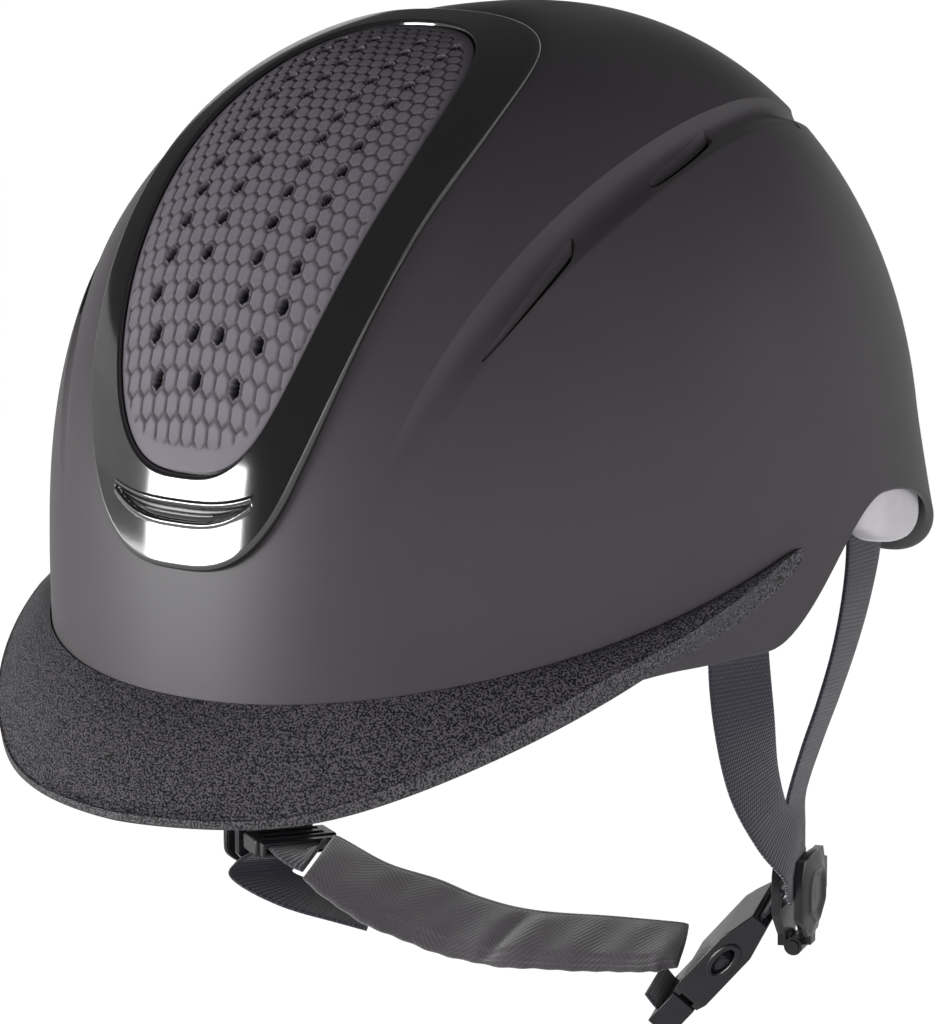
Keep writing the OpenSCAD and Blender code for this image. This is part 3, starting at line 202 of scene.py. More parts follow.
def skin(u, t, d=0.0):
    """Point of the helmet's skin. Seen from above it is a superellipse of turn u, seen from the side another of climb
    t, with the crown moved back, the nape flared and the forehead leaning forward. d is the offset outwards."""
    u, t, d = np.broadcast_arrays(np.asarray(u, float), np.asarray(t, float), np.asarray(d, float))
    c, s = cosd(u), sind(u)
    k = plan_radius(c, s)
    a = mm("half_w") + d
    b = np.where(s < 0, mm("front_len"), mm("back_len")) + d
    p = crest_power(u)
    high = np.clip(t, 0, 90)
    r = np.where(t >= 0, np.abs(cosd(high)) ** (2 / p), 1 - TUCK * (t / RADIAN) ** 2)
    z = np.where(t >= 0, mm("belt_z") + (mm("dome_h") + d) * sind(high) ** (2 / p), mm("belt_z") * (1 + t / RADIAN))
    x = a * c * k * r
    y = b * s * k * r + mm("crown_shift") * (1 - np.minimum(r, 1))
    reach = np.maximum(0.001, np.hypot(x / a, y / b))
    low = np.clip((72 - z) / 32, 0, 2) ** 1.6
    flare = mm("nape_flare") * smooth((s - 0.15) / 0.45) * low
    rake = np.clip(-s, 0, 1) ** 2 * mm("front_rake") * (z - 75) / 100 * smooth(r / 0.25)
    return np.stack([x + flare * x / a / reach, y + flare * y / b / reach + rake, z], -1)


def climb(z, u, d=0.0):
    """Climb at which the skin reaches height z: the inverse of the side superellipse."""
    z, u, d = np.broadcast_arrays(np.asarray(z, float), np.asarray(u, float), np.asarray(d, float))
    share = np.clip((z - mm("belt_z")) / (mm("dome_h") + d), 0, 1)
    above = np.degrees(np.arcsin(share ** (crest_power(u) / 2)))
    return np.where(z < mm("belt_z"), -(1 - z / mm("belt_z")) * RADIAN, above)


def at(bearing, z, d=0.0):
    """Point of the skin at a bearing from the front, positive to the left, and at height z."""
    u = np.asarray(bearing, float) - 90
    return skin(u, climb(z, u, d), d)


# Bearing of the notch behind the ear, and the height to which the rim rises in it.
NOTCH_AT = 110
NOTCH_Z = 55


def rim_z(bearing):
    """Height of the rim: low at the forehead, higher at the temples, with a squared cosine notch behind each ear that
    runs out over twice the bearing to the back."""
    a = np.abs(np.asarray(bearing, float))
    x = (a - NOTCH_AT) / np.where(a < NOTCH_AT, 25, 50)
    base = 7 + 13.5 * smooth((a - 30) / 40) - 1.5 * smooth((a - 120) / 50)
    return base + np.where(np.abs(x) < 1, (NOTCH_Z - base) * np.cos(np.pi / 2 * np.clip(x, -1, 1)) ** 2, 0)


def channel_climb(bearing, v):
    """Climb at share v between the lower and upper edge of the side channel, both exponential in the bearing."""
    a = np.clip(np.abs(bearing), 30, 140)
    fall = 0.00007 * np.clip(a - 100, 0, None) ** 2
    low = (0.91 * (1 - np.exp(-(a - 29) / 28)) - fall) * RADIAN
    high = (0.97 * (1 - np.exp(-(a - 26) / 23)) - fall) * RADIAN
    return mix(low, high, v) + 0.9 * np.clip(30 - np.abs(bearing), 0, None)


def channel_dip(bearing, v):
    """Depth of the side channel: a sine across it that leans to the upper edge, fading out at both ends."""
    a = np.abs(bearing)
    ends = smooth((a - 26) / 24) * smooth((158 - a) / 26) * (1 - 0.5 * smooth((a - 94) / 26))
    w = np.clip(v, 0, 1)
    return mm("channel_depth") * ends * np.sin(np.pi * w ** 1.25) ** 0.9


def plan_turn(x):
    """Turn whose superellipse point lies at share x of the half width."""
    c = np.clip(x, -0.999, 0.999)
    return np.degrees(np.arctan2(-((1 - np.abs(c) ** PLAN_POWER) ** (1 / PLAN_POWER)), c))


def on_front(x, t, d):
    """Point of the forehead at distance x from the middle plane and at climb t."""

    def radius(u):
        high = np.clip(t, 0, 89)
        return np.where(t >= 0, cosd(high) ** (2 / crest_power(u)), 1 - TUCK * (t / RADIAN) ** 2)

    u = np.full(np.broadcast(x, t).shape, -90.0)
    for _ in range(4):
        u = plan_turn(x / ((mm("half_w") + d) * radius(u)))
    return skin(u, t, d)


# The frame and the panel are ovals in the plane of x and climb: middle and reach in degrees of climb, half width in
# millimetres, and the powers of their lower and upper half.
FRAME_MIDDLE, FRAME_REACH, FRAME_HALF = 38.5, 39.5, 50
PANEL_MIDDLE, PANEL_REACH, PANEL_HALF = 40.25, 32.75, 37.8
LOW_POWER, HIGH_POWER = 3.0, 2.3
# Millimetres of skin to one degree of climb: at the panel's edge, across the frame and beside the side channels.
FRONT_DEGREE, FRAME_DEGREE, SIDE_DEGREE = 2.2, 2.35, 2.1
# Height of the underside of the frame and the panel over the shell's skin.
TRIM_GAP = 0.65


def oval_radius(x, t, half, reach=PANEL_REACH, low_power=LOW_POWER):
    """Superellipse radius in the plane of x and climb: 0 in the panel's middle and 1 on the oval's edge."""
    p = np.where(t < PANEL_MIDDLE, low_power, HIGH_POWER)
    return (np.abs(x / half) ** p + np.abs((t - PANEL_MIDDLE) / reach) ** p) ** (1 / p)


def frame_half(t):
    """Half width of the frame at a climb: a smooth step that is narrower towards the foot."""
    return FRAME_HALF - 7.5 * (1 - smooth(t / 50))


def panel_half(t):
    """Half width of the vent panel at a climb: a smooth step that is narrower towards the foot."""
    return PANEL_HALF - 5.3 * (1 - smooth((t - 10) / 35))


def oval_edge(a, middle, reach, half, grow=0.0):
    """Edge of an oval at turn a: signed powers of cosine and sine give x and climb, grown by some millimetres."""
    p = np.where(sind(a) < 0, 2 / LOW_POWER, 2 / HIGH_POWER)
    t = middle + (reach + grow / FRONT_DEGREE) * bent(sind(a), p)
    return np.stack([(half(t) + grow) * bent(cosd(a), p), t], -1)


def foot_climb(t):
    """Climb corrected near the belt so that heights keep changing at the rate they have at 8 degrees, which keeps the
    corners of the frame's foot round."""
    first = 8
    rate = 0.02165 * mm("dome_h")
    start = mm("belt_z") + mm("dome_h") * sind(first) ** (2 / crest_power(-90))
    return np.where(t < first, climb(start - rate * (first - t), -90.0), t)


# ---------------------------------------------------------------- meshes
def make(name, points, finish, body="helmet", nodes=(), slot=None, ring=False, uv=None, marks=None, crease=40):
    """Makes one closed mesh of a grid of points in millimetres. Each row is a closed loop; ring joins the last row to
    the first, and otherwise each end is closed by a fan to the loop's mean point. The signed volume tells which way
    faces turn. marks are named values of the points."""
    points = np.asarray(points, float) / 1000
    rows, cols = points.shape[:2]
    index = np.arange(rows * cols).reshape(rows, cols)
    lines = np.vstack([index, index[:1]]) if ring else index
    a, b = lines[:-1], lines[1:]
    quads = np.stack([a, np.roll(a, -1, 1), np.roll(b, -1, 1), b], -1).reshape(-1, 4)
    verts = points.reshape(-1, 3)
    fans = np.zeros((0, 3), int)
    if not ring:
        n = len(verts)
        verts = np.vstack([verts, points[0].mean(0), points[-1].mean(0)])
        first, last = index[0], index[-1]
        fans = np.vstack(
            [
                np.stack([np.roll(first, -1), first, np.full(cols, n)], -1),
                np.stack([last, np.roll(last, -1), np.full(cols, n + 1)], -1),
            ]
        )
    tris = np.vstack([quads[:, [0, 1, 2]], quads[:, [0, 2, 3]], fans])
    corners = verts[tris]
    if np.einsum("ij,ij->i", corners[:, 0], np.cross(corners[:, 1], corners[:, 2])).sum() < 0:
        quads, fans = quads[:, ::-1], fans[:, ::-1]
    mesh = bpy.data.meshes.new(name)
    mesh.vertices.add(len(verts))
    mesh.vertices.foreach_set("co", verts.ravel())
    loops = np.concatenate([quads.ravel(), fans.ravel()])
    mesh.loops.add(len(loops))
    mesh.loops.foreach_set("vertex_index", loops)
    mesh.polygons.add(len(quads) + len(fans))
    starts = np.concatenate([np.arange(len(quads)) * 4, len(quads) * 4 + np.arange(len(fans)) * 3])
    mesh.polygons.foreach_set("loop_start", starts)
    mesh.update(calc_edges=True)
    if uv is not None:
        flat = np.vstack([np.asarray(uv, float).reshape(-1, 2), np.zeros((len(verts) - rows * cols, 2))])
        mesh.uv_layers.new(name="UVMap").data.foreach_set("uv", flat[loops].ravel())
    for key, values in (marks or {}).items():
        full = np.zeros(len(verts))
        full[: rows * cols] = np.asarray(values, float).ravel()
        mesh.attributes.new(key, "FLOAT", "POINT").data.foreach_set("value", full)
    mesh.validate()
    mesh.polygons.foreach_set("use_smooth", np.ones(len(mesh.polygons), bool))
    mesh.set_sharp_from_angle(angle=math.radians(crease))
    obj = bpy.data.objects.new(name, mesh)
    bpy.context.scene.collection.objects.link(obj)
    obj.data.materials.append(finish)
    if body:
        seat(obj, body, nodes)
    return obj


def seat(obj, body, nodes):
    """Makes a finished piece ride on its body and stand for its nodes."""
    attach(obj, body)
    if nodes:
        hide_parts(*nodes)
    return obj


def curve(points, n):
    """Catmull-Rom curve through points, with n steps between two of them."""
    p = np.asarray(points, float)
    p = np.vstack([p[:1], p, p[-1:]])
    f = (np.arange(n) / n)[None, :, None]
    a, b, c, d = p[:-3, None], p[1:-2, None], p[2:-1, None], p[3:, None]
    q = (2 * b + (c - a) * f + (2 * a - 5 * b + 4 * c - d) * f**2 + (3 * b - a - 3 * c + d) * f**3) / 2
    return np.vstack([q.reshape(-1, p.shape[-1]), p[-1:]])


def round_section(count, power):
    """Unit loop of a superellipse: cosine and sine of the turn, each to the power 2 over power."""
    a = np.arange(count) / count * 360 + 180 / count
    return bent(cosd(a), 2 / power), bent(sind(a), 2 / power)


def band(name, route, across, width, thick, finish, **options):
    """Webbing: a flat section with soft edges carried along a curve, with its width along the given directions.
    The map runs along the webbing in metres, and across it in metres."""
    way = curve(route, 10)
    side = unit(curve(across, 10))
    along = np.gradient(way, axis=0)
    lift = unit(np.cross(along, side))
    travel = np.concatenate([[0], np.cumsum(np.linalg.norm(np.diff(way, axis=0), axis=1))])
    x, y = round_section(28, 7.0)
    points = way[:, None] + side[:, None] * x[None, :, None] * width / 2
    points = points + lift[:, None] * y[None, :, None] * thick / 2
    uv = np.stack(np.broadcast_arrays(x[None] * width / 2000, travel[:, None] / 1000), -1)
    return make(name, points, finish, uv=uv, crease=60, **options)


def softened(node, width, finish, body="helmet"):
    """A copy of a CAD node's mesh, merged and cleared of flat edges, with every real edge rounded by a bevel."""
    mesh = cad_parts[node].data.copy()
    mesh.name = node + "_finished"
    work = bmesh.new()
    work.from_mesh(mesh)
    bmesh.ops.remove_doubles(work, verts=work.verts, dist=2e-6)
    bmesh.ops.dissolve_limit(work, angle_limit=math.radians(2), verts=work.verts, edges=work.edges)
    bmesh.ops.recalc_face_normals(work, faces=work.faces)
    work.to_mesh(mesh)
    work.free()
    mesh.materials.clear()
    mesh.materials.append(finish)
    obj = bpy.data.objects.new(node + "_finished", mesh)
    bpy.context.scene.collection.objects.link(obj)
    mesh.polygons.foreach_set("use_smooth", np.ones(len(mesh.polygons), bool))
    mesh.set_sharp_from_angle(angle=math.radians(50))
    bevel = obj.modifiers.new("Rounded edges", "BEVEL")
    bevel.width = width / 1000
    bevel.segments = 3
    bevel.limit_method = "ANGLE"
    bevel.angle_limit = math.radians(35)
    bevel.harden_normals = False
    return seat(obj, body, (node,))


def repaint(finish, *nodes):
    """Gives CAD nodes whose shape is right a finished material."""
    for node in nodes:
        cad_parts[node].data.materials.clear()
        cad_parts[node].data.materials.append(finish)


# ---------------------------------------------------------------- materials
def add(tree, kind, inputs=None, **settings):
    """Adds a shader node. inputs maps a socket's name or number to a value or to another node's socket."""
    made = tree.nodes.new("ShaderNode" + kind)
    for key, value in settings.items():
        setattr(made, key, value)
    for key, value in (inputs or {}).items():
        if isinstance(value, bpy.types.NodeSocket):
            tree.links.new(value, made.inputs[key])
        else:
            made.inputs[key].default_value = value
    return made


def begin(name, colour_name, **sockets):
    """A material with its Principled shader, its plain sockets set on the shader itself."""
    if name in bpy.data.materials:
        return bpy.data.materials[name], None, None
    made = bpy.data.materials.new(name)
    made.use_nodes = True
    tree = made.node_tree
    shader = tree.nodes["Principled BSDF"]
    shader.inputs["Base Color"].default_value = tint(colour_name)
    for key, value in sockets.items():
        shader.inputs[key.replace("_", " ")].default_value = value
    return made, tree, shader


def shaded(tree, shader, colour_name, signal, low, high):
    """Colours a signal from a darker to a lighter shade of one colour, by two factors. Gives the ramp's stops."""
    base = tint(colour_name)[:3]
    ramp = add(tree, "ValToRGB", {0: signal})
    stops = ramp.color_ramp.elements
    stops[0].color = [c * low for c in base] + [1]
    stops[1].color = [min(1.0, c * high) for c in base] + [1]
    tree.links.new(ramp.outputs["Color"], shader.inputs["Base Color"])
    return stops


def dapple(tree, shader, colour_name, size, spread, detail=3.0, cut=0.3):
    """Varies a colour by noise of a real size in millimetres, from darker to lighter by the given spread. A larger cut
    narrows the ramp, so that the noise turns into speckles. Gives the noise."""
    place = add(tree, "TexCoord").outputs["Object"]
    noise = add(tree, "TexNoise", {"Vector": place, "Scale": 1000 / size, "Detail": detail, "Roughness": 0.6})
    stops = shaded(tree, shader, colour_name, noise.outputs["Fac"], 1 - spread, 1 + spread)
    stops[0].position = cut
    stops[1].position = 1 - cut
    return noise.outputs["Fac"]


def relief(tree, shader, height, depth, strength=1.0):
    """Bumps the surface by a height signal, with its depth in millimetres."""
    bump = add(tree, "Bump", {"Height": height, "Distance": depth / 1000, "Strength": strength})
    tree.links.new(bump.outputs["Normal"], shader.inputs["Normal"])


def grain(tree, shader, size, depth, strength, detail=2.0):
    """Bumps the surface by noise of a real size and depth in millimetres."""
    place = add(tree, "TexCoord").outputs["Object"]
    noise = add(tree, "TexNoise", {"Vector": place, "Scale": 1000 / size, "Detail": detail})
    relief(tree, shader, noise.outputs["Fac"], depth, strength)


def calc(tree, kind, *values):
    """One Math node on values or sockets."""
    return add(tree, "Math", dict(enumerate(values)), operation=kind).outputs[0]


def shell_finish():
    """Soft-touch polyurethane paint on ABS, sprayed: dead matt, with fine orange peel and a faint cloudiness."""
    made, tree, shader = begin(
        "soft_touch_paint", "shell",
        Roughness=0.5, IOR=1.5, Specular_IOR_Level=0.55, Sheen_Weight=0.05, Sheen_Roughness=0.3,
    )
    if tree:
        dapple(tree, shader, "shell", 38, 0.05)
        grain(tree, shader, 0.9, 0.03, 0.35)
    return made


def visor_finish():
    """ABS moulded against an etched tool: a speckled grain of about 0.55 mm, coarser than real so that it shows."""
    made, tree, shader = begin("etched_plastic", "visor", Roughness=0.5, IOR=1.5, Specular_IOR_Level=0.5)
    if tree:
        speckles = dapple(tree, shader, "visor", 0.55, 0.85, 0.0, 0.4)
        relief(tree, shader, speckles, 0.22)
    return made


def gloss_finish():
    """Black physical-vapour coating on polished plastic: dark, with mirror-sharp reflections."""
    made, tree, shader = begin("black_mirror_coat", "gloss", Roughness=0.09, IOR=2.1)
    if tree:
        grain(tree, shader, 14, 0.05, 0.25, 1.0)
    return made


def rubber_finish():
    """Moulded thermoplastic rubber: matt, with painted shade in grooves, painted highlights and painted shadow in
    holes.
    """
    made, tree, shader = begin("moulded_rubber", "rubber", Roughness=0.62, IOR=1.5, Specular_IOR_Level=0.4)
    if tree:
        shade = add(tree, "Attribute", attribute_name="shade").outputs["Fac"]
        # The ramp turns the painted light and shade into colour, from near black in the holes to light on the cells.
        stops = shaded(tree, shader, "rubber", shade, 0, 1.35)
        stops[0].color = (0.0015, 0.0015, 0.0015, 1)
        stops.new(0.5).color = tint("rubber")
        stops.new(0.25).color = [c * 0.3 for c in tint("rubber")[:3]] + [1]
        grain(tree, shader, 0.8, 0.03, 0.3)
    return made


def insert_finish():
    """Polished black plastic of the vent inserts, with faint tool marks."""
    made, tree, shader = begin("polished_insert", "insert", Roughness=0.2, IOR=1.5)
    if tree:
        grain(tree, shader, 3, 0.04, 0.3)
    return made


def foam_finish():
    """Expanded polystyrene: beads of about 3.2 mm pressed together, seen as a cellular pattern."""
    made, tree, shader = begin("pressed_foam", "foam", Roughness=0.7, IOR=1.5, Specular_IOR_Level=0.35)
    if tree:
        dapple(tree, shader, "foam", 9, 0.18)
        place = add(tree, "TexCoord").outputs["Object"]
        beads = add(tree, "TexVoronoi", {"Vector": place, "Scale": 1000 / 3.2}, feature="DISTANCE_TO_EDGE")
        edge = calc(tree, "MINIMUM", calc(tree, "MULTIPLY", beads.outputs["Distance"], 6.0), 1.0)
        relief(tree, shader, edge, 0.15, 0.6)
    return made


def lining_finish():
    """Warp-knitted polyester: small loops of about 1.6 mm with a soft sheen, drawn coarser than real."""
    made, tree, shader = begin(
        "knitted_lining", "lining", Roughness=0.9, Sheen_Weight=0.25, Sheen_Roughness=0.5, Specular_IOR_Level=0.2
    )
    if tree:
        dapple(tree, shader, "lining", 6, 0.15)
        place = add(tree, "TexCoord").outputs["Object"]
        loops = add(tree, "TexVoronoi", {"Vector": place, "Scale": 1000 / 1.6})
        relief(tree, shader, loops.outputs["Distance"], 0.3, 0.6)
    return made


def satin_finish():
    """Satin lining cloth stretched over foam: smooth and pale, with a soft broad shine."""
    made, tree, shader = begin(
        "satin_cloth", "satin", Roughness=0.48, Sheen_Weight=0.3, Sheen_Roughness=0.4, Specular_IOR_Level=0.45
    )
    if tree:
        dapple(tree, shader, "satin", 14, 0.07)
        grain(tree, shader, 1.1, 0.08, 0.4)
    return made


def cloth_map(tree):
    """Place across and along a woven piece, in metres, from its own map."""
    split = add(tree, "SeparateXYZ", {0: add(tree, "UVMap", uv_map="UVMap").outputs[0]})
    return split.outputs["X"], split.outputs["Y"]


def wave(tree, signal, spacing):
    """Sine of a place in metres, with its crests a real spacing in millimetres apart."""
    return calc(tree, "SINE", calc(tree, "MULTIPLY", signal, 2 * math.pi * 1000 / spacing))


def webbing_finish():
    """Woven polyester webbing: weft ribs every 1.25 mm crossed by leaning warp threads every 0.95 mm."""
    made, tree, shader = begin(
        "woven_webbing", "webbing", Roughness=0.62, Sheen_Weight=0.2, Sheen_Roughness=0.45, Specular_IOR_Level=0.4
    )
    if tree:
        x, y = cloth_map(tree)
        lean = calc(tree, "ADD", x, calc(tree, "MULTIPLY", y, 0.55))
        height = calc(tree, "ADD", wave(tree, y, 1.25), calc(tree, "MULTIPLY", wave(tree, lean, 0.95), 0.8))
        relief(tree, shader, height, 0.09, 0.8)
        # Colour follows the weave's relief: painted shade in its hollows, painted highlights on its threads.
        shaded(tree, shader, "webbing", calc(tree, "MULTIPLY_ADD", height, 0.25, 0.5), 0.62, 1.5)
    return made


def twill_finish():
    """Brushed twill: diagonal cords every 1.7 mm that turn every 9 mm into a herringbone, drawn coarser than real."""
    made, tree, shader = begin(
        "brushed_twill", "twill", Roughness=0.88, Sheen_Weight=0.35, Sheen_Roughness=0.5, Specular_IOR_Level=0.2
    )
    if tree:
        x, y = cloth_map(tree)
        cords = wave(tree, calc(tree, "ADD", x, calc(tree, "PINGPONG", y, 0.009)), 1.7)
        place = add(tree, "TexCoord").outputs["Object"]
        fuzz = add(tree, "TexNoise", {"Vector": place, "Scale": 1000 / 1.1, "Detail": 3.0})
        height = calc(tree, "ADD", calc(tree, "MULTIPLY", cords, 0.5), fuzz.outputs["Fac"])
        relief(tree, shader, height, 0.12, 0.7)
        # Colour follows the relief: painted shade between cords, painted highlights on them, random tone from the fuzz.
        shaded(tree, shader, "twill", calc(tree, "MULTIPLY_ADD", height, 0.4, 0.3), 0.75, 1.22)
    return made


def moulded_finish():
    """Injection-moulded nylon: black and half glossy, with a fine texture."""
    made, tree, shader = begin("moulded_nylon", "moulded", Roughness=0.24, IOR=1.53)
    if tree:
        dapple(tree, shader, "moulded", 5, 0.12)
        grain(tree, shader, 1.4, 0.035, 0.35)
    return made


def metal_finish():
    """Nickel-plated steel, with faint marks of handling."""
    made, tree, shader = begin("plated_steel", "metal", Metallic=1.0, Roughness=0.3)
    if tree:
        grain(tree, shader, 0.7, 0.02, 0.3)
    return made


def nylon_finish():
    """Natural nylon, moulded and slightly cloudy."""
    made, tree, shader = begin("natural_nylon", "nylon", Roughness=0.45, IOR=1.53)
    if tree:
        dapple(tree, shader, "nylon", 4, 0.06)
    return made


# ---------------------------------------------------------------- shell and front
# Bearing and climb of both ends of each slot, its widening for its slope, and the share over which it opens.
VENT_SLOTS = (
    (42.2, 20.6, 55.6, 35.0, 1.6, 0.6),
    (70.4, 42.4, 92.0, 49.8, 1.2, 0.15),
    (111.5, 52.0, 123.8, 47.6, 0.9, 0.3),
)
# Share of each slot at which its scoop ends, where the scoop starts across it, and how deep the scoop sinks.
VENT_SCOOPS = ((0.965, -0.55, 1.1), (0.965, -0.55, 1.1), (0.99, -0.97, 0.3))


def slot_edges(f, widening, opening):
    """Upper and lower edge of a vent slot, in degrees of climb from its line: the upper one opens over its first share,
    the lower one is straight, and both close in round ends."""
    half = mm("slot_w") / 2 / SIDE_DEGREE * widening * np.sqrt(np.clip(1 - (2 * f - 1) ** 16, 0.02, 1))
    return half * (0.2 + 0.8 * smooth(f / opening)), -half * mix(1 - 1.3 * opening, 1, f)


def slot_cutter():
    """Cutter for the six side slots: each is a wedge between two places of the skin, through its wall."""
    verts, faces = [], []
    f = 0.5 - 0.5 * cosd(np.linspace(0, 180, 21))
    for side in (1, -1):
        for b0, t0, b1, t1, widening, opening in VENT_SLOTS:
            around = np.concatenate([f, f[::-1]])
            high, low = slot_edges(f, widening, opening)
            e = np.concatenate([high, low[::-1]])
            rings = [skin(side * mix(b0, b1, around) - 90, mix(t0, t1, around) + e, d) for d in (6.0, -10.0)]
            start, n = len(verts), len(around)
            verts += [tuple(p / 1000) for ring in rings for p in ring]
            sides = [(start + i, start + (i + 1) % n, start + n + (i + 1) % n, start + n + i) for i in range(n)]
            ends = [tuple(start + i for i in range(n)), tuple(start + n + i for i in reversed(range(n)))]
            faces += sides + ends
    mesh = bpy.data.meshes.new("slot_cutter")
    mesh.from_pydata(verts, [], faces)
    work = bmesh.new()
    work.from_mesh(mesh)
    bmesh.ops.triangulate(work, faces=[f for f in work.faces if len(f.verts) > 4])
    bmesh.ops.recalc_face_normals(work, faces=work.faces)
    work.to_mesh(mesh)
    work.free()
    obj = bpy.data.objects.new("slot_cutter", mesh)
    bpy.context.scene.collection.objects.link(obj)
    return obj


SHELL_COLUMNS = 480


def shell_rows(edge, count_low, count_channel, count_high, d):
    """Climbs of the shell's rows for every column, from the edge through the channel to the crown, with the dip."""
    bearings = np.arange(SHELL_COLUMNS) * 360 / SHELL_COLUMNS - 180
    start = climb(edge(bearings), bearings - 90, d)
    turn = np.maximum(start + 1, 0)
    below, above = channel_climb(bearings, -0.25), channel_climb(bearings, 1.25)
    f = np.linspace(0, 1, count_low // 2, endpoint=False)[:, None]
    g = np.linspace(0, 1, count_low - count_low // 2, endpoint=False)[:, None]
    v = np.linspace(-0.25, 1.25, count_channel)[:, None]
    h = np.linspace(0, 1, count_high + 1)[1:, None]
    low_rows = [mix(start, turn, f), mix(turn, below, g)]
    climbs = np.vstack([*low_rows, channel_climb(bearings[None], v), mix(above, 89.2, h)])
    flat_low, flat_high = (np.zeros((count, SHELL_COLUMNS)) for count in (count_low, count_high))
    dips = np.vstack([flat_low, channel_dip(bearings[None], v), flat_high])
    return bearings, climbs, dips


class HELMET_OT_shell(bpy.types.Operator):
    """Builds the outer shell with its rolled rim, side channels and vent slots"""

    bl_idname = "helmet.shell"
    bl_label = "Outer shell"

    def execute(self, context):
        wall = mm("shell_t")
        roll = wall / 2

        def edge(a):
            """Height at which the rim's roll ends and the walls begin."""
            return rim_z(a) + roll

        def under_panel(points, t):
            """Recess of the walls under the vent panel: a smooth step just inside the panel's oval."""
            r = oval_radius(points[..., 0], t, panel_half(t))
            return np.where(points[..., 1] < 20, 2.8 * smooth((0.9 - r) / 0.06), 0)

        b, outer_t, outer_dip = shell_rows(edge, 44, 44, 44, 0.0)
        b, inner_t, inner_dip = shell_rows(edge, 14, 14, 14, -wall)
        outer = skin(b - 90, outer_t, -outer_dip)
        outer = skin(b - 90, outer_t, -outer_dip - under_panel(outer, outer_t))
        inner = skin(b - 90, inner_t, -inner_dip - wall)
        inner = skin(b - 90, inner_t, -inner_dip - wall - under_panel(inner, inner_t))
        turn = np.linspace(0, 180, 9)[1:-1, None]
        rim = at(b[None], rim_z(b)[None] + roll - roll * sind(turn), -roll + roll * cosd(turn))
        points = np.vstack([outer[::-1], rim, inner])
        obj = make("outer_shell_surface", points, shell_finish(), body=None)
        cutter = slot_cutter()
        cut = obj.modifiers.new("Slots", "BOOLEAN")
        cut.object = cutter
        cut.operation = "DIFFERENCE"
        cut.solver = "MANIFOLD"
        bpy.context.view_layer.objects.active = obj
        bpy.ops.object.modifier_apply(modifier=cut.name)
        bpy.data.objects.remove(cutter)
        obj.data.polygons.foreach_set("use_smooth", np.ones(len(obj.data.polygons), bool))
        obj.data.set_sharp_from_angle(angle=math.radians(40))
        seat(obj, "helmet", ("outer_shell",))
        return {"FINISHED"}


class HELMET_OT_side_vents(bpy.types.Operator):
    """Builds the glossy inserts behind the side slots"""

    bl_idname = "helmet.side_vents"
    bl_label = "Side vent inserts"

    def execute(self, context):
        finish, paint = insert_finish(), shell_finish()
        for side, word in ((1, "left"), (-1, "right")):
            b = np.linspace(37.5, 127.5, 140)[:, None]
            v = np.linspace(0, 1, 15)
            under = -mm("shell_t") - channel_dip(b, v)
            top, low = (skin(side * b - 90, channel_climb(b, v), under - gap) for gap in (0.5, 1.6))
            insert = np.concatenate([top, low[:, ::-1]], 1)
            make(f"vent_insert_{word}", insert, finish, nodes=(f"side_vent_{word}",), slot="insert_gloss")
            for number, (b0, t0, b1, t1, widening, opening) in enumerate(VENT_SLOTS):
                until, across, sink = VENT_SCOOPS[number]
                f = np.linspace(0.02, until, 60)[:, None]
                e = np.linspace(across, 0.985, 14)[None]
                high, low = slot_edges(f, widening, opening)
                b, t = side * mix(b0, b1, f), mix(t0, t1, f) + mix(low, high, 0.5 + 0.5 * e)
                v = (t - channel_climb(b, 0)) / (channel_climb(b, 1) - channel_climb(b, 0))
                fall = channel_dip(b, v) + 0.12 + sink * (0.985 - e) / 1.62
                top, low = (skin(b + 0 * e - 90, t, -fall - extra) for extra in (0.0, 0.55))
                scoop = np.concatenate([top, low[:, ::-1]], 1)
                make(f"vent_scoop_{word}_{number}", scoop, paint, nodes=(f"side_vent_{word}",), slot="insert_gloss")
        return {"FINISHED"}


# Bearing at which the visor's wings end.
WING_END = 91


def seam_z(a):
    """Height of the line where the visor meets the shell: rises with the square of the bearing and eases off."""
    return 14.9 + 15.85 * (a / RADIAN) ** 2 - 1.03 * (a / RADIAN) ** 4


def wing_low_z(a):
    """Height of the lower edge of the visor's wing on the shell: rises with the third power of the bearing."""
    return 9 + 34 * (a / WING_END) ** 3


def lip_out(a):
    """Reach of the visor's edge, falling off towards the wing tips almost in step with the bearing."""
    share = a * a / (a + 10) * (WING_END + 10) / (WING_END * WING_END)
    return 1.5 + mm("peak_reach") * np.clip(1 - share, 0, None) ** 1.1


def lip(bearing, inward, lift):
    """Line of the visor's edge: the plan superellipse moved outwards, on a height that bends up towards the wings."""
    a = np.abs(bearing)
    c, s = cosd(bearing - 90), sind(bearing - 90)
    k = plan_radius(c, s)
    d = np.maximum(0.6, lip_out(a) - inward)
    z = -mm("peak_drop") + 0.93 * ((a - 25) + np.sqrt((a - 25) ** 2 + 100)) / 2
    return np.stack([(mm("half_w") * k + 0.76 * d) * c, (mm("front_len") * k + d) * s, z + lift], -1)


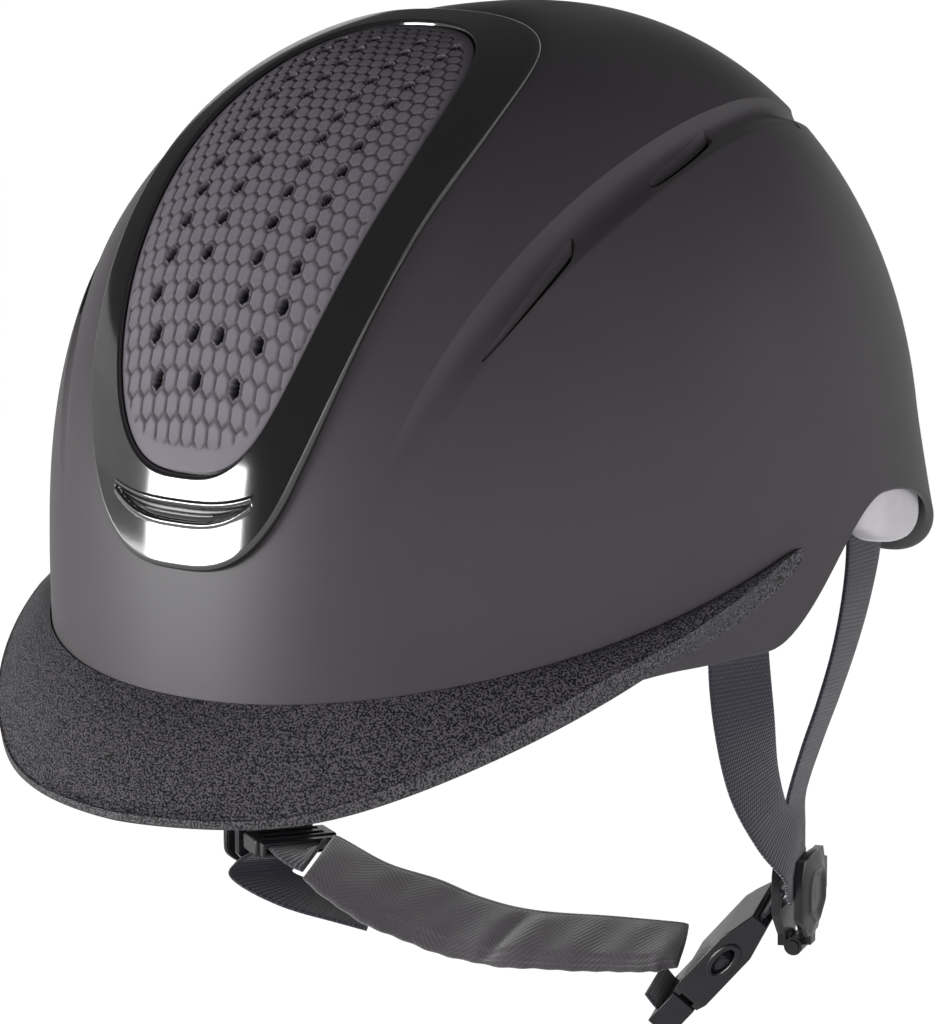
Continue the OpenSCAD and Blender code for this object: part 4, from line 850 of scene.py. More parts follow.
class HELMET_OT_visor(bpy.types.Operator):
    """Builds the visor: a swept peak with a crisp edge band, and a ridged wing along each side"""

    bl_idname = "helmet.visor"
    bl_label = "Visor"

    def execute(self, context):
        b = np.linspace(-WING_END, WING_END, 340)
        a = np.abs(b)
        # Rounds off the ends of the wings: 1 along the visor and close to 0 at its tips.
        tip = np.sqrt(np.clip(1 - (np.clip(a - 86.5, 0, None) / 4.6) ** 2, 0.02, 1))
        middle = (seam_z(a) + wing_low_z(a)) / 2
        roll = mm("peak_t") / 2 * np.sqrt(lip_out(a) / (mm("peak_reach") + 1.5))
        seam, low_z = mix(middle, seam_z(a), tip), mix(middle, wing_low_z(a), tip)
        top, root, low = at(b, seam, 0.5), at(b, middle, 0.3), at(b, low_z, 0.3)
        top_in, low_out = at(b, seam - 0.4 * tip, 0.3), at(b, low_z, 0.7)
        # The faces bulge with the peak's reach, the brim rises beside the middle, and the lip folds in under it.
        swell = np.stack([0 * a, 0 * a, 0.07 * lip_out(a)], -1)
        centre = lip(b, 0, 0)[:, 2]
        rise = np.minimum(5.4 * smooth((a - 14) / 44), 0.47 * np.clip(seam - centre, 0, None)) * tip
        fold = 0.35 + 1.5 * smooth((a - 20) / 40) * tip
        edge = np.minimum(0.8, roll * 0.6)
        ridge = mix(root, lip(b, 0, roll * 0.75 + rise), tip[:, None])
        high = mix(root, lip(b, edge, roll + rise), tip[:, None])
        back = mix(root, lip(b, fold, -roll * 0.5), tip[:, None])
        under = mix(root, lip(b, fold + edge, -roll), tip[:, None])
        shares = np.linspace(0, 1, 15)[1:-1]
        loop = [root, top_in, top]
        loop += [mix(top, high, f) + swell * np.sin(np.pi * f**0.9) for f in shares]
        loop += [high, mix(high, ridge, 0.6), ridge]
        loop += [mix(ridge, back, f) for f in (0.04, 0.3, 0.6, 0.9, 1)]
        loop += [mix(back, under, f) for f in (0.4, 0.8, 1)]
        loop += [mix(under, low_out, f) + swell * np.sin(np.pi * f) * 0.8 for f in shares]
        loop += [low_out, low]
        make("visor_surface", np.stack(loop, 1), visor_finish(), nodes=("visor",), slot="visor_grain", crease=30)
        return {"FINISHED"}


# Half width of the crescent in the frame's foot.
CRESCENT_HALF = 23.6


def crescent_low(x):
    """Climb of the crescent's lower edge: a cubic in the distance from the middle plane."""
    return 3.3 + 2.2 * (np.abs(x) / CRESCENT_HALF) ** 3


def crescent_high(x):
    """Climb of the crescent's upper edge: a flatter cubic that nearly meets the lower one at the tips."""
    return 4.7 + 1.05 * (np.abs(x) / CRESCENT_HALF) ** 3


class HELMET_OT_front_frame(bpy.types.Operator):
    """Builds the glossy frame with its bevelled edges, its crescent recess and the thin bar in it"""

    bl_idname = "helmet.front_frame"
    bl_label = "Front frame"

    def execute(self, context):
        self.build_frame()
        self.build_bar()
        return {"FINISHED"}

    def build_frame(self):
        """The frame is a strip between two ovals, denser at the foot, with quarter-round edges and a dent at the
        crescent that has a low lip round it."""
        upper, foot = np.linspace(-60, 210, 260, endpoint=False), np.linspace(210, 300, 420, endpoint=False)
        turns = np.concatenate([upper, foot])
        across = np.linspace(0, 1, 64)
        outer = oval_edge(turns, FRAME_MIDDLE, FRAME_REACH, frame_half)
        inner = oval_edge(turns, PANEL_MIDDLE, PANEL_REACH, panel_half, 0.3)
        flat = mix(outer[:, None], inner[:, None], across[None, :, None])
        x, t = flat[..., 0], flat[..., 1]
        width = np.linalg.norm((outer - inner) * (1, FRAME_DEGREE), axis=1)[:, None]
        from_outer = across[None] * width
        from_inner = (1 - across[None]) * width
        top = TRIM_GAP + mm("frame_t")
        outer_round = np.sqrt(np.clip(1 - (1 - np.clip(from_outer / 1.5, 0, 1)) ** 2, 0, 1))
        inner_round = np.sqrt(np.clip(1 - (1 - np.clip(from_inner / 0.9, 0, 1)) ** 2, 0, 1))
        height = TRIM_GAP + 0.4 + (top - TRIM_GAP - 0.4) * np.minimum(outer_round, inner_round)
        low, high = crescent_low(x), crescent_high(x)
        middle, half = (low + high) / 2, (high - low) / 2
        ends = 1 - (np.abs(x) / CRESCENT_HALF) ** 6
        inside = np.minimum(half - np.abs(t - middle), np.where(np.abs(x) < CRESCENT_HALF, ends * 3, -1))
        dent = 1.2 * smooth((inside + 0.05) / 0.28)
        rim = 0.22 * np.exp(-(((inside + 0.22) / 0.16) ** 2)) * (np.abs(x) < CRESCENT_HALF + 1)
        height = height - dent + np.where(t < 12, rim, 0)
        placed = foot_climb(t)
        face = on_front(x, placed, height)
        base = on_front(x[:, ::8], placed[:, ::8], TRIM_GAP + 0.05)[:, ::-1]
        points = np.concatenate([face, base], 1)
        make(
            "front_frame_surface", points, gloss_finish(),
            nodes=("front_frame",), slot="frame_gloss", ring=True, crease=50,
        )

    def build_bar(self):
        """The bar is an oval section carried along the crescent, with a ridge on its face and faded tips."""
        s = np.linspace(-1, 1, 90)
        xs = s * (CRESCENT_HALF - 1.2)
        mid = mix(crescent_low(xs), crescent_high(xs), 0.5)[:, None]
        half = 0.5 * (crescent_high(xs) - crescent_low(xs))[:, None] - 0.14
        p, q = round_section(28, 2.4)
        fade = np.sqrt(np.clip(1 - s**10, 0.02, 1))[:, None]
        depth = TRIM_GAP + mm("frame_t") - 0.95
        spine = 0.3 * np.exp(-(((p[None] + 0.25) / 0.2) ** 2)) * (q[None] > 0)
        placed = foot_climb(mid + half * p[None] * fade)
        bar = on_front(xs[:, None] + 0 * p[None], placed, depth + (0.25 * q[None] + spine) * fade)
        make("accent_bar_surface", bar, moulded_finish(), nodes=("accent_bar",), slot="accent_gloss")


def honeycomb(x, t):
    """Honeycomb in rows that arch over the forehead. The row number r solves t = start + step r - shrink r squared -
    arch x squared, two cell rows to one hole row. Gives the distance from the cell's edge, the height inside the
    cell from -1 to 1, and whether the cell is a hole."""
    start, step, shrink, arch = 16.6, 5.2, 0.095, 0.0022
    reach = np.clip(step**2 - 4 * shrink * (t + arch * x * x - start), 0.01, None)
    row = (step - np.sqrt(reach)) / (2 * shrink)
    q = 2 * row
    col = x / (mm("cell_w") * (1 - 0.008 * np.clip(row, -2, 14)))
    best = None
    for odd in (0, 1):
        cq = 2 * np.round((q - odd) / 2) + odd
        cc = np.round(col - odd / 2) + odd / 2
        dx, dy = np.abs(col - cc), np.abs(q - cq) * 0.866
        away = np.maximum(dx, 0.5 * dx + 0.866 * dy)
        if best is None:
            best = [away, cq, cc, q - cq]
        else:
            near = away < best[0]
            best = [np.where(near, new, old) for new, old in zip((away, cq, cc, q - cq), best)]
    away, cq, cc, lift = best
    hole_row = np.round(cq / 2)
    c = np.abs(np.round(cc))
    first, second, others = (c == 0) | (c == 3), (c == 1) | (c == 4), (c == 2) | (c == 5)
    pick = np.where(hole_row == 0, first, np.where(hole_row == 1, second, others))
    hole = (np.abs(cq - 2 * hole_row) < 0.1) & (hole_row >= 0) & (hole_row <= 13) & pick
    return 0.5 - away, lift, hole


class HELMET_OT_vent_panel(bpy.types.Operator):
    """Builds the rubber vent panel with its honeycomb relief and rows of holes"""

    bl_idname = "helmet.vent_panel"
    bl_label = "Vent panel"

    def execute(self, context):
        s = np.linspace(-1, 1, 212)[None, :]
        w = np.linspace(-1, 1, 396)[:, None]
        v = 0.6 * w + 0.4 * sind(90 * w)
        t = PANEL_MIDDLE + PANEL_REACH * v + 0 * s
        p = np.where(v < 0, LOW_POWER, HIGH_POWER)
        x = s * panel_half(t) * np.clip(1 - np.abs(v) ** p, 1e-4, 1) ** (1 / p)
        r = oval_radius(x, t, panel_half(t))
        from_edge, lift, hole = honeycomb(x, t)
        groove = np.exp(-((from_edge * mm("cell_w") / 0.36) ** 2))
        border = oval_radius(x, t, panel_half(t) - 1.6, np.where(t < PANEL_MIDDLE, 30.3, 31.7), 3.6)
        worked = 1 - smooth((border - 0.985) / 0.025)
        shape = 0.38 * (0.25 + 0.75 * (0.5 + lift)) - 0.6 * groove
        pit = hole * smooth((from_edge - 0.14) / 0.06) * worked
        crown = 0.5 * np.sqrt(np.clip(1 - r**8, 0, 1))
        height = TRIM_GAP + mm("panel_t") - 0.45 + crown + worked * (shape - 0.25) - pit * 3.3
        lowest = min(TRIM_GAP + 0.1, height[:, ::6].min() - 0.25)
        face = on_front(x, t, height)
        base = on_front(x[:, ::6], t[:, ::6], lowest)[:, ::-1]
        # Painted highlights on the cells' tops, painted shade in the grooves and painted shadow, near black, in the
        # holes.
        shade = mix(0.5 + worked * (0.12 * lift - 0.16 * groove), 0.0, np.clip(pit * 1.6, 0, 1))
        points = np.concatenate([face, base], 1)
        marks = {"shade": np.concatenate([shade, 0.5 + 0 * base[..., 0]], 1)}
        make(
            "vent_panel_surface", points, rubber_finish(),
            nodes=("vent_panel",), slot="vent_rubber", marks=marks, crease=75,
        )
        return {"FINISHED"}


# ---------------------------------------------------------------- inside
# Offset of the foam's outer face from the helmet's skin.
LINER_OUT = -2.8


def liner_in():
    """Offset of the foam's inner face from the helmet's skin."""
    return LINER_OUT - mm("foam_t")


def bolster_top(b):
    """Height of the bolster's upper edge: smooth steps down towards its end and towards the nape."""
    a = np.abs(b)
    return 62 - 10 * smooth((120 - a) / 12) - 12 * smooth((a - 126) / 20)


def liner_z(b):
    """Height of the foam's edge: over the trim at the front, over the rim at the temples, over the bolster behind."""
    a = np.abs(b)
    return np.where(a < 90, rim_z(a) + 3.2, np.where(a < 112.5, rim_z(a) + 0.3, bolster_top(a) + 0.6))


class HELMET_OT_liner(bpy.types.Operator):
    """Builds the impact foam with its air channels and the trim under it"""

    bl_idname = "helmet.liner"
    bl_label = "Impact foam and trim"

    def execute(self, context):
        inside = liner_in()
        b = np.arange(-180.0, 180.0)
        edge = liner_z(b)
        blurred = (edge + np.roll(edge, 1) + np.roll(edge, -1)) / 3
        edge = np.maximum(edge, blurred)
        f = np.linspace(0, 1, 70)[:, None]
        t_in = mix(climb(edge, b - 90, inside), 89.0, f)
        inner = skin(b - 90, t_in, inside)
        x = inner[..., 0]
        # Air lanes beside the middle of the crown, and one up each side.
        lanes = np.exp(-(((np.abs(x) - 27) / 5) ** 4)) * smooth((inner[..., 2] - 92) / 14)
        ribs = np.exp(-(((np.abs(b[None]) - 68) / 5) ** 4)) * smooth((inner[..., 2] - 60) / 12)
        ribs = ribs * smooth((128 - inner[..., 2]) / 10)
        inner = skin(b - 90, t_in, inside + 5 * np.maximum(lanes, ribs))
        g = np.linspace(0, 1, 24)[:, None]
        t_out = mix(climb(edge + 1.5, b - 90, LINER_OUT - 1.2), 89.0, g)
        # The outer face stays under the shell: lower along the side channels, and sunk behind the vent panel.
        v = (t_out - channel_climb(b, 0)) / np.maximum(channel_climb(b, 1) - channel_climb(b, 0), 0.1)
        dip = channel_dip(b, v)
        under = LINER_OUT - 1.2 - dip - 1.6 * (dip > 0.05)
        outer = skin(b - 90, t_out, under)
        panel = oval_radius(outer[..., 0], t_out, panel_half(t_out))
        sunk = np.where(outer[..., 1] < 20, 6 * smooth((1.12 - panel) / 0.1), 0)
        outer = skin(b - 90, t_out, under - sunk)
        turn = np.linspace(0, 90, 5)[1:-1, None]
        low_in = at(b, edge + 1.5 - 1.5 * sind(90 - turn) + 0.1, inside + 1.5 - 1.5 * cosd(90 - turn))
        points = np.vstack([outer[::-1], at(b[None], edge[None] + 0.3, LINER_OUT - 2.0), low_in, inner])
        make("foam_surface", points, foam_finish(), nodes=("impact_liner",), slot="foam", crease=60)
        # The trim is a low section along the rim, its ends lifted.
        b = np.linspace(-81, 81, 200)
        low = rim_z(b) + 0.35 + 1.6 * smooth((np.abs(b) - 74) / 7)
        outer_d, inner_d = LINER_OUT, LINER_OUT - 9
        loop = [
            at(b, low + 0.4, outer_d - 0.1),
            at(b, low, outer_d - 1),
            at(b, low + 0.2, outer_d - 4),
            at(b, low + 0.5, inner_d + 1.2),
            at(b, low + 1.1, inner_d + 0.2),
            at(b, low + 1.9, inner_d),
            at(b, low + 2.5, inner_d + 0.4),
            at(b, low + 2.5, outer_d - 4),
            at(b, low + 2.5, outer_d - 0.4),
        ]
        make(
            "rim_trim_surface", np.stack(loop, 1), moulded_finish(),
            nodes=("rim_trim",), slot="trim_plastic", crease=60,
        )
        return {"FINISHED"}


class HELMET_OT_bolster(bpy.types.Operator):
    """Builds the satin-covered bolster round the nape"""

    bl_idname = "helmet.bolster"
    bl_label = "Nape bolster"

    def execute(self, context):
        b = np.linspace(113, 247, 260)
        fold = np.where(b > 180, 360 - b, b)
        low = np.minimum(35, rim_z(fold) + 2) + 0.5 + 2.5 * smooth((fold - 138) / 18)
        high = bolster_top(fold)
        outer, inner = -3.6, -19.8
        turns = np.arange(40) / 40 * 360
        x, y = bent(cosd(turns), 2 / 3.2), bent(sind(turns), 2 / 2.8)
        # The ends close in a round, and all but the outer face is puckered.
        ease = np.sqrt(np.clip(1 - np.abs((b - 180) / 67) ** 14, 0.05, 1))[:, None]
        pucker = 0.25 * np.sin(b[:, None] * 1.9 + 2 * y[None]) * np.sin(b[:, None] * 0.73) * (x[None] < 0.6)
        d = (outer + inner) / 2 + x[None] * (outer - inner) / 2 * ease - np.abs(pucker)
        z = (low + high)[:, None] / 2 + y[None] * (high - low)[:, None] / 2 * ease
        points = at(b[:, None], z, d)
        made = make(
            "nape_bolster_cover", points, satin_finish(),
            nodes=("nape_bolster",), slot="bolster_grey", crease=70,
        )
        return {"FINISHED"}


def pillow(outer, inner_gain, thick, seams=()):
    """Turns a grid of points and its normals into a closed cushion: full in the middle, drawn in at its edges and
    along sewn lines. Each row becomes a loop over the front and back of the cushion."""
    rows, cols = outer.shape[:2]
    i = np.linspace(-1, 1, cols)[None]
    j = np.linspace(-1, 1, rows)[:, None]
    swell = np.clip(1 - np.abs(i) ** 6, 0, 1) ** 0.45 * np.clip(1 - np.abs(j) ** 5, 0, 1) ** 0.45
    for axis, place, width in seams:
        line = np.exp(-(((i if axis == "i" else j) - place) / width) ** 2)
        swell = swell * (1 - 0.42 * line)
    head = outer + inner_gain * (0.5 + (thick - 0.5) * swell)[..., None]
    return np.concatenate([outer, head[:, ::-1]], 1)


def inward_normals(points):
    """Unit normals of a grid: the cross product of its two directions, turned towards the middle of the head."""
    du = np.gradient(points, axis=0)
    dv = np.gradient(points, axis=1)
    n = unit(np.cross(du, dv))
    centre = np.array([0, 5, 60.0])
    flip = np.sign(np.sum(n * (centre - points), -1, keepdims=True))
    return n * flip


class HELMET_OT_pads(bpy.types.Operator):
    """Builds the knitted comfort pads of brow, crown, sides and nape, each crowned and quilted"""

    bl_idname = "helmet.pads"
    bl_label = "Comfort pads"

    def execute(self, context):
        lining = lining_finish()
        d = liner_in() - 2.0
        thick = mm("pad_t") - 0.3
        b, z = np.meshgrid(np.linspace(-53.6, 53.6, 150), np.linspace(20.4, 43.6, 40))
        grid = at(b, z, d)
        seams = [("i", s, 0.02) for s in (-0.6, -0.2, 0.2, 0.6)] + [("j", 0.0, 0.07)]
        brow = make(
            "brow_pad_cover", pillow(grid, inward_normals(grid), thick, seams), lining,
            nodes=("brow_pad",), slot="pad_fabric", crease=80,
        )
        for side, word in ((-1, "right"), (1, "left")):
            b, z = np.meshgrid(side * np.linspace(62.4, 101.6, 60), np.linspace(54.4, 83.6, 44))
            grid = at(b, z, d)
            points = pillow(grid, inward_normals(grid), thick, [("i", 0.0, 0.05), ("j", 0.0, 0.06)])
            pad = make(f"side_pad_{word}_cover", points, lining, nodes=("side_pads",), slot="pad_fabric", crease=80)
        y = np.linspace(-57.5, 85.5, 150)
        x = np.linspace(-16.7, 16.7, 36)
        across, along = np.meshgrid(x, y)
        grid = over_head(across, along, liner_in() - 1.3)
        seams = [("j", s, 0.02) for s in (-0.66, -0.33, 0.0, 0.33, 0.66)] + [("i", 0.0, 0.05)]
        crown = make(
            "crown_pad_cover", pillow(grid, inward_normals(grid), thick, seams), lining,
            nodes=("crown_pad",), slot="pad_fabric", crease=80,
        )
        x, z = np.meshgrid(np.linspace(-19.7, 19.7, 60), np.linspace(-1.7, 17.7, 36))
        grid = np.stack([x, 0 * x + 102.6, z], -1)
        gain = np.zeros_like(grid)
        gain[..., 1] = -1
        nape = make(
            "nape_pad_cover", pillow(grid, gain, 4.2, [("i", 0.0, 0.05)]), lining,
            nodes=("nape_pad",), slot="pad_fabric", crease=80,
        )
        return {"FINISHED"}


def over_head(x, y, d):
    """Point of the skin straight over a place inside the plan, by repeated correction for crown shift and lean."""
    share, lean = np.zeros_like(x), np.zeros_like(x)
    for _ in range(7):
        fx = x / (mm("half_w") + d)
        reach = np.where(y < mm("crown_shift"), mm("front_len"), mm("back_len")) + d
        fy = (y - mm("crown_shift") * (1 - share) - lean) / reach
        r = np.maximum(0.001, (np.abs(fx) ** PLAN_POWER + np.abs(fy) ** PLAN_POWER) ** (1 / PLAN_POWER))
        s = fy / np.maximum(np.hypot(fx, fy), 1e-6)
        p = SIDE_POWER + SIDE_LEAN * s
        z = mm("belt_z") + (mm("dome_h") + d) * np.clip(1 - np.minimum(r, 1) ** p, 0, None) ** (1 / p)
        lean = np.clip(-s, 0, 1) ** 2 * mm("front_rake") * (z - 75) / 100 * smooth(r / 0.25)
        share = np.minimum(r, 1)
    return np.stack([x, y, z], -1)


# ---------------------------------------------------------------- harness
# Places of the two dividers, given as on the left, and their turn about Z.
DIVIDER_LEFT = np.array([85.2, 31, -58])
DIVIDER_RIGHT = np.array([85.6, 4, -62])
DIVIDER_TURN = 20


def turned(p, a):
    """p turned by a degrees about Z."""
    x, y, z = np.asarray(p, float).T
    return np.stack([x * cosd(a) - y * sind(a), x * sind(a) + y * cosd(a), z], -1)


def in_divider(place, p):
    """Point of a divider's own frame, set at its place."""
    return place + turned(p, DIVIDER_TURN)


# Width directions of the webbing at the dividers: across, and slanted as the front straps come in.
LEVEL = turned([0, 1, 0], DIVIDER_TURN)
SLANT_LEFT = turned([0, 0.78, 0.62], DIVIDER_TURN)
SLANT_RIGHT = turned([0, 0.97, 0.24], DIVIDER_TURN)
# Stations and width directions of each strap as they are on the left, and the side on which it lies.
STRAPS = {
    "front_strap_left": (
        [
            [100, -21, 45], [99.5, -18.5, 32], [97, -15, 18], [96, -11, 1], [93, -2, -18], [91.8, 8.5, -33],
            in_divider(DIVIDER_LEFT, [1.3, -13.5, 16]),
            in_divider(DIVIDER_LEFT, [1.1, -9, 11]),
            in_divider(DIVIDER_LEFT, [1, -5, 6.6]),
        ],
        [
            [0.12, 0.99, 0], [0.16, 0.98, 0], [0.3, 0.95, 0], [0.3, 0.95, 0.1], [0.1, 0.93, 0.28], [-0.16, 0.88, 0.42],
            SLANT_LEFT, SLANT_LEFT, SLANT_LEFT,
        ],
        1,
    ),
    "front_strap_right": (
        [
            [100, -21, 45], [99.5, -18.5, 32], [97, -15, 18], [96, -13, 1], [94, -11, -18], [91.6, -7, -34],
            in_divider(DIVIDER_RIGHT, [1.3, -6, 19]),
            in_divider(DIVIDER_RIGHT, [1.1, -4, 13]),
            in_divider(DIVIDER_RIGHT, [1, -3, 7]),
        ],
        [
            [0.12, 0.99, 0], [0.16, 0.98, 0], [0.25, 0.96, 0], [0.12, 0.98, 0.1], [-0.08, 0.97, 0.18],
            [-0.26, 0.94, 0.2],
            SLANT_RIGHT, SLANT_RIGHT, SLANT_RIGHT,
        ],
        -1,
    ),
    "rear_strap_left": (
        [
            [84.4, 62.2, 50], [86.2, 60, 36], [88.4, 53.2, 22.6], [89.2, 46.3, 9.5],
            [89, 39, -3.5], [87, 34, -16], [84.6, 30.3, -30],
            in_divider(DIVIDER_LEFT, [-1.1, 0, 18]),
            in_divider(DIVIDER_LEFT, [-1.1, 0, 13]),
            in_divider(DIVIDER_LEFT, [-1.1, 0, 6.5]),
        ],
        [
            [-0.1, 0.99, 0], [-0.12, 0.99, 0], [-0.2, 0.97, -0.1], [-0.26, 0.95, -0.1], [-0.3, 0.94, -0.1],
            [-0.32, 0.93, -0.1], [-0.34, 0.94, -0.04], LEVEL, LEVEL, LEVEL,
        ],
        1,
    ),
    "rear_strap_right": (
        [
            [90, 66, 52], [90, 63.2, 36], [90, 53, 22.6],
            [89.5, 42, 7], [89, 30, -9], [86.6, 18.5, -24], [82, 10, -36],
            in_divider(DIVIDER_RIGHT, [-1.2, 2, 18]),
            in_divider(DIVIDER_RIGHT, [-1.1, 0.5, 12]),
            in_divider(DIVIDER_RIGHT, [-1.1, 0, 6.5]),
        ],
        [
            [-0.38, 0.92, 0], [-0.38, 0.92, 0], [-0.46, 0.84, -0.2], [-0.5, 0.8, -0.24], [-0.5, 0.8, -0.3],
            [-0.42, 0.86, -0.28], [-0.36, 0.91, -0.12], LEVEL, LEVEL, LEVEL,
        ],
        -1,
    ),
}
# Place of the buckle, and its turns about Z, Y and Z.
BUCKLE_AT = np.array([77.1, 26.9, -62.4])
BUCKLE_TURNS = (-75.5, 41.75, 10.7)


def buckle_way(p):
    """A direction of the buckle's own frame, turned about Z, Y and Z as its solid is."""
    first, a, last = BUCKLE_TURNS
    x, y, z = turned(p, first).T
    return turned(np.stack([x * cosd(a) + z * sind(a), y, z * cosd(a) - x * sind(a)], -1), last)


def buckle_point(p):
    """Point of the buckle's own frame, set at its place."""
    return BUCKLE_AT + buckle_way(p)


def placed(local, place_of):
    """A grid of points in a piece's own frame, each set at its place by place_of."""
    return place_of(local.reshape(-1, 3)).reshape(local.shape)


# Ends of the chin webbing on the right: at the chin pad and at the divider.
RIGHT_FROM = np.array([-53.4, -13.8, -59.2])
MIRROR = np.array([-1, 1, 1])
RIGHT_TO = in_divider(DIVIDER_RIGHT, [-7, 0, 2]) * MIRROR
# Upper and lower edge of the chin pad, from the wearer's right to the left.
PAD_UPPER = [[-56, -1, -56], [-43, 7, -64], [-28, 13, -68], [-15, 17, -72], [-1, 20, -74], [17, 30, -75], [40, 42, -76]]
PAD_LOWER = [
    [-48, -25, -63], [-37, -17, -74], [-24, -9, -81], [-7, -4, -85], [11, 0, -85], [31, 11, -85], [52, 19, -83],
]


class HELMET_OT_straps(bpy.types.Operator):
    """Builds the webbing of the harness"""

    bl_idname = "helmet.straps"
    bl_label = "Webbing"

    def execute(self, context):
        cloth = webbing_finish()
        width, thick = mm("web_w"), mm("web_t")
        for name, (route, across, side) in STRAPS.items():
            flip = np.array([side, 1, 1])
            route, across = np.array(route) * flip, np.array(across) * flip
            band(name + "_web", route, across, width, thick, cloth, nodes=(name,), slot="webbing")
        wide = buckle_way([1, 0, 0])
        band(
            "buckle_web_strip",
            [in_divider(DIVIDER_LEFT, [-0.9, 0.2, 3.6]), in_divider(DIVIDER_LEFT, [-3.2, 0.3, 2])]
            + [buckle_point([0, 0, z]) for z in (4.6, 1, -2)],
            [-LEVEL, -LEVEL, wide, wide, wide],
            width - 1, thick, cloth, nodes=("buckle_web",), slot="webbing",
        )
        # Place of the tongue's strap bar along the buckle.
        z = -40.9
        route = [buckle_point(p) for p in ([0, 3.4, z], [0, 0, z], [0, -4.4, z], [0, -9, z + 1])]
        strip = band("chin_web_left_strip", route, [wide] * 4, width, thick, cloth, body=None)
        held, pulled = (tuple(buckle_point(np.array([0, y, z])) / 1000) for y in (-9, -2))
        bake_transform(strip)
        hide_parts("chin_web_left")
        along = RIGHT_TO - RIGHT_FROM
        yaw = np.degrees(np.arctan2(-along[1], -along[0]))
        level = np.array([-sind(yaw), cosd(yaw), 0])
        start = unit(np.array(PAD_UPPER[0]) - np.array(PAD_LOWER[0], float))
        route = [mix(RIGHT_FROM, RIGHT_TO, f) for f in (0, 0.33, 0.66, 1)]
        route += [in_divider(DIVIDER_RIGHT, [x, 0, 2]) * MIRROR for x in (-3.2, -0.9)]
        across = [start, level, level, level, LEVEL * MIRROR, LEVEL * MIRROR]
        right = {"nodes": ("chin_web_right",), "slot": "webbing"}
        band("chin_web_right_strip", route, across, width - 1, thick, cloth, **right)
        # The tail turns back at the slider and hangs along the chin pad.
        tail = [
            [-75.5, -1.5, -63.4], [-79, -5, -66.5], [-79, -7, -70.5],
            [-70, -2.5, -75.5], [-60, 3, -79.5], [-50, 8, -82],
        ]
        lean = [-0.5, 0.8, 0.1]
        across = [level, level, level, [0, 0.98, 0.1], lean, lean]
        band("chin_web_tail", tail, across, width - 1, thick, cloth, **right)
        return {"FINISHED"}


class HELMET_OT_chin_pad(bpy.types.Operator):
    """Builds the folded twill sleeve along the chin, with hems, a crease and soft folds"""

    bl_idname = "helmet.chin_pad"
    bl_label = "Chin pad"

    def execute(self, context):
        upper, lower = curve(PAD_UPPER, 26), curve(PAD_LOWER, 26)
        middle, half = (upper + lower) / 2, (upper - lower) / 2
        along = unit(np.gradient(middle, axis=0))
        lift = unit(np.cross(along, half))
        travel = np.concatenate([[0], np.cumsum(np.linalg.norm(np.diff(middle, axis=0), axis=1))])
        share = travel / travel[-1]
        turns = np.arange(96) / 96 * 360
        x, y = bent(cosd(turns), 0.62), bent(sind(turns), 0.72)
        ease = np.clip(1 - (2 * share - 1) ** 24, 0.03, 1) ** 0.35
        width = 0.97 * (0.95 + 0.05 * ease)
        s, v = travel[:, None], x[None]
        # Thinner at its ends and edges, with a seam along both edges, soft folds, a crease and a lower hem.
        thick = mm("chin_pad_t") / 2 * (0.42 + 0.58 * ease)[:, None] * (0.82 + 0.18 * (1 - v**2))
        seam = np.exp(-(((np.abs(v) - 0.86) / 0.035) ** 2))
        folds = 0.32 * np.sin(s * 0.19 + 2.1 * v) * np.sin(s * 0.083 + 0.7) + 0.22 * np.sin(s * 0.47 - 3.4 * v)
        fold = 0.55 * travel[-1]
        crease = 1.3 * np.exp(-(((s - fold - 6 * v) / 2.4) ** 2)) - 0.8 * np.exp(-(((s - fold - 6 - 6 * v) / 3.6) ** 2))
        hemmed = smooth((share[:, None] - 0.2) / 0.04) * smooth((0.94 - share[:, None]) / 0.02)
        hem = 0.75 * smooth((-0.6 - v) / 0.06) * hemmed
        body = folds * np.abs(y[None]) * (1 - v**4) - 0.32 * seam - crease * np.abs(y[None]) * smooth((0.9 - v) / 0.5)
        out = y[None] * (thick + body - hem)
        # The lower edge wavers a little and is notched at its far end.
        ripple = 1 + 0.014 * (np.sin(s * 0.33) + np.sin(s * 0.93 + 2)) * (v < 0) + 0.01 * np.sin(s * 0.21 + 1)
        ripple = ripple - 0.12 * smooth((share[:, None] - 0.945) / 0.015) * smooth((-v - 0.5) / 0.4)
        points = middle[:, None] + half[:, None] * (v * width[:, None] * ripple)[..., None]
        points = points + lift[:, None] * out[..., None]
        span = np.linalg.norm(half, axis=1)[:, None]
        uv = np.stack([v * span / 1000, s / 1000 + 0 * v], -1)
        pad = make("chin_pad_cover", points, twill_finish(), nodes=("chin_pad",), slot="pad_twill", uv=uv, crease=80)
        return {"FINISHED"}


def lever_cap(name, place, side, finish):
    """Domed cap on a divider's lever: a rounded outline that narrows to its hinge, with a raised ring round a dish."""
    a = np.arange(72) / 72 * 360
    z = 0.6 + 11.8 * bent(sind(a), 0.7)
    y = 12.9 * bent(cosd(a), 0.62) * (1 - 0.5 * smooth((-3 - z) / 8))
    s = np.concatenate([[1.0, 1.02, 1.02, 1.0, 0.975, 0.94], np.linspace(0.9, 0.02, 30)])
    x = np.concatenate([[2.1, 2.5, 3.7, 4.15], 4.3 + 1.6 * (1 - s[4:] ** 3)])
    dish = 0.6 * smooth((0.55 - s) / 0.12) * (1 - 0.3 * smooth((0.3 - s) / 0.3))
    x += 0.5 * np.exp(-(((s - 0.62) / 0.06) ** 2)) - dish
    local = np.stack([x[:, None] + 0 * y[None], s[:, None] * y[None], 0.6 + s[:, None] * (z[None] - 0.6)], -1)
    points = placed(local, lambda p: in_divider(place, p))
    if side == "right":
        points = points * MIRROR
    node = f"divider_lever_{side}"
    return make(name, points, finish, body=f"{side}_lever", nodes=(node,), slot="buckle_gloss", crease=50)


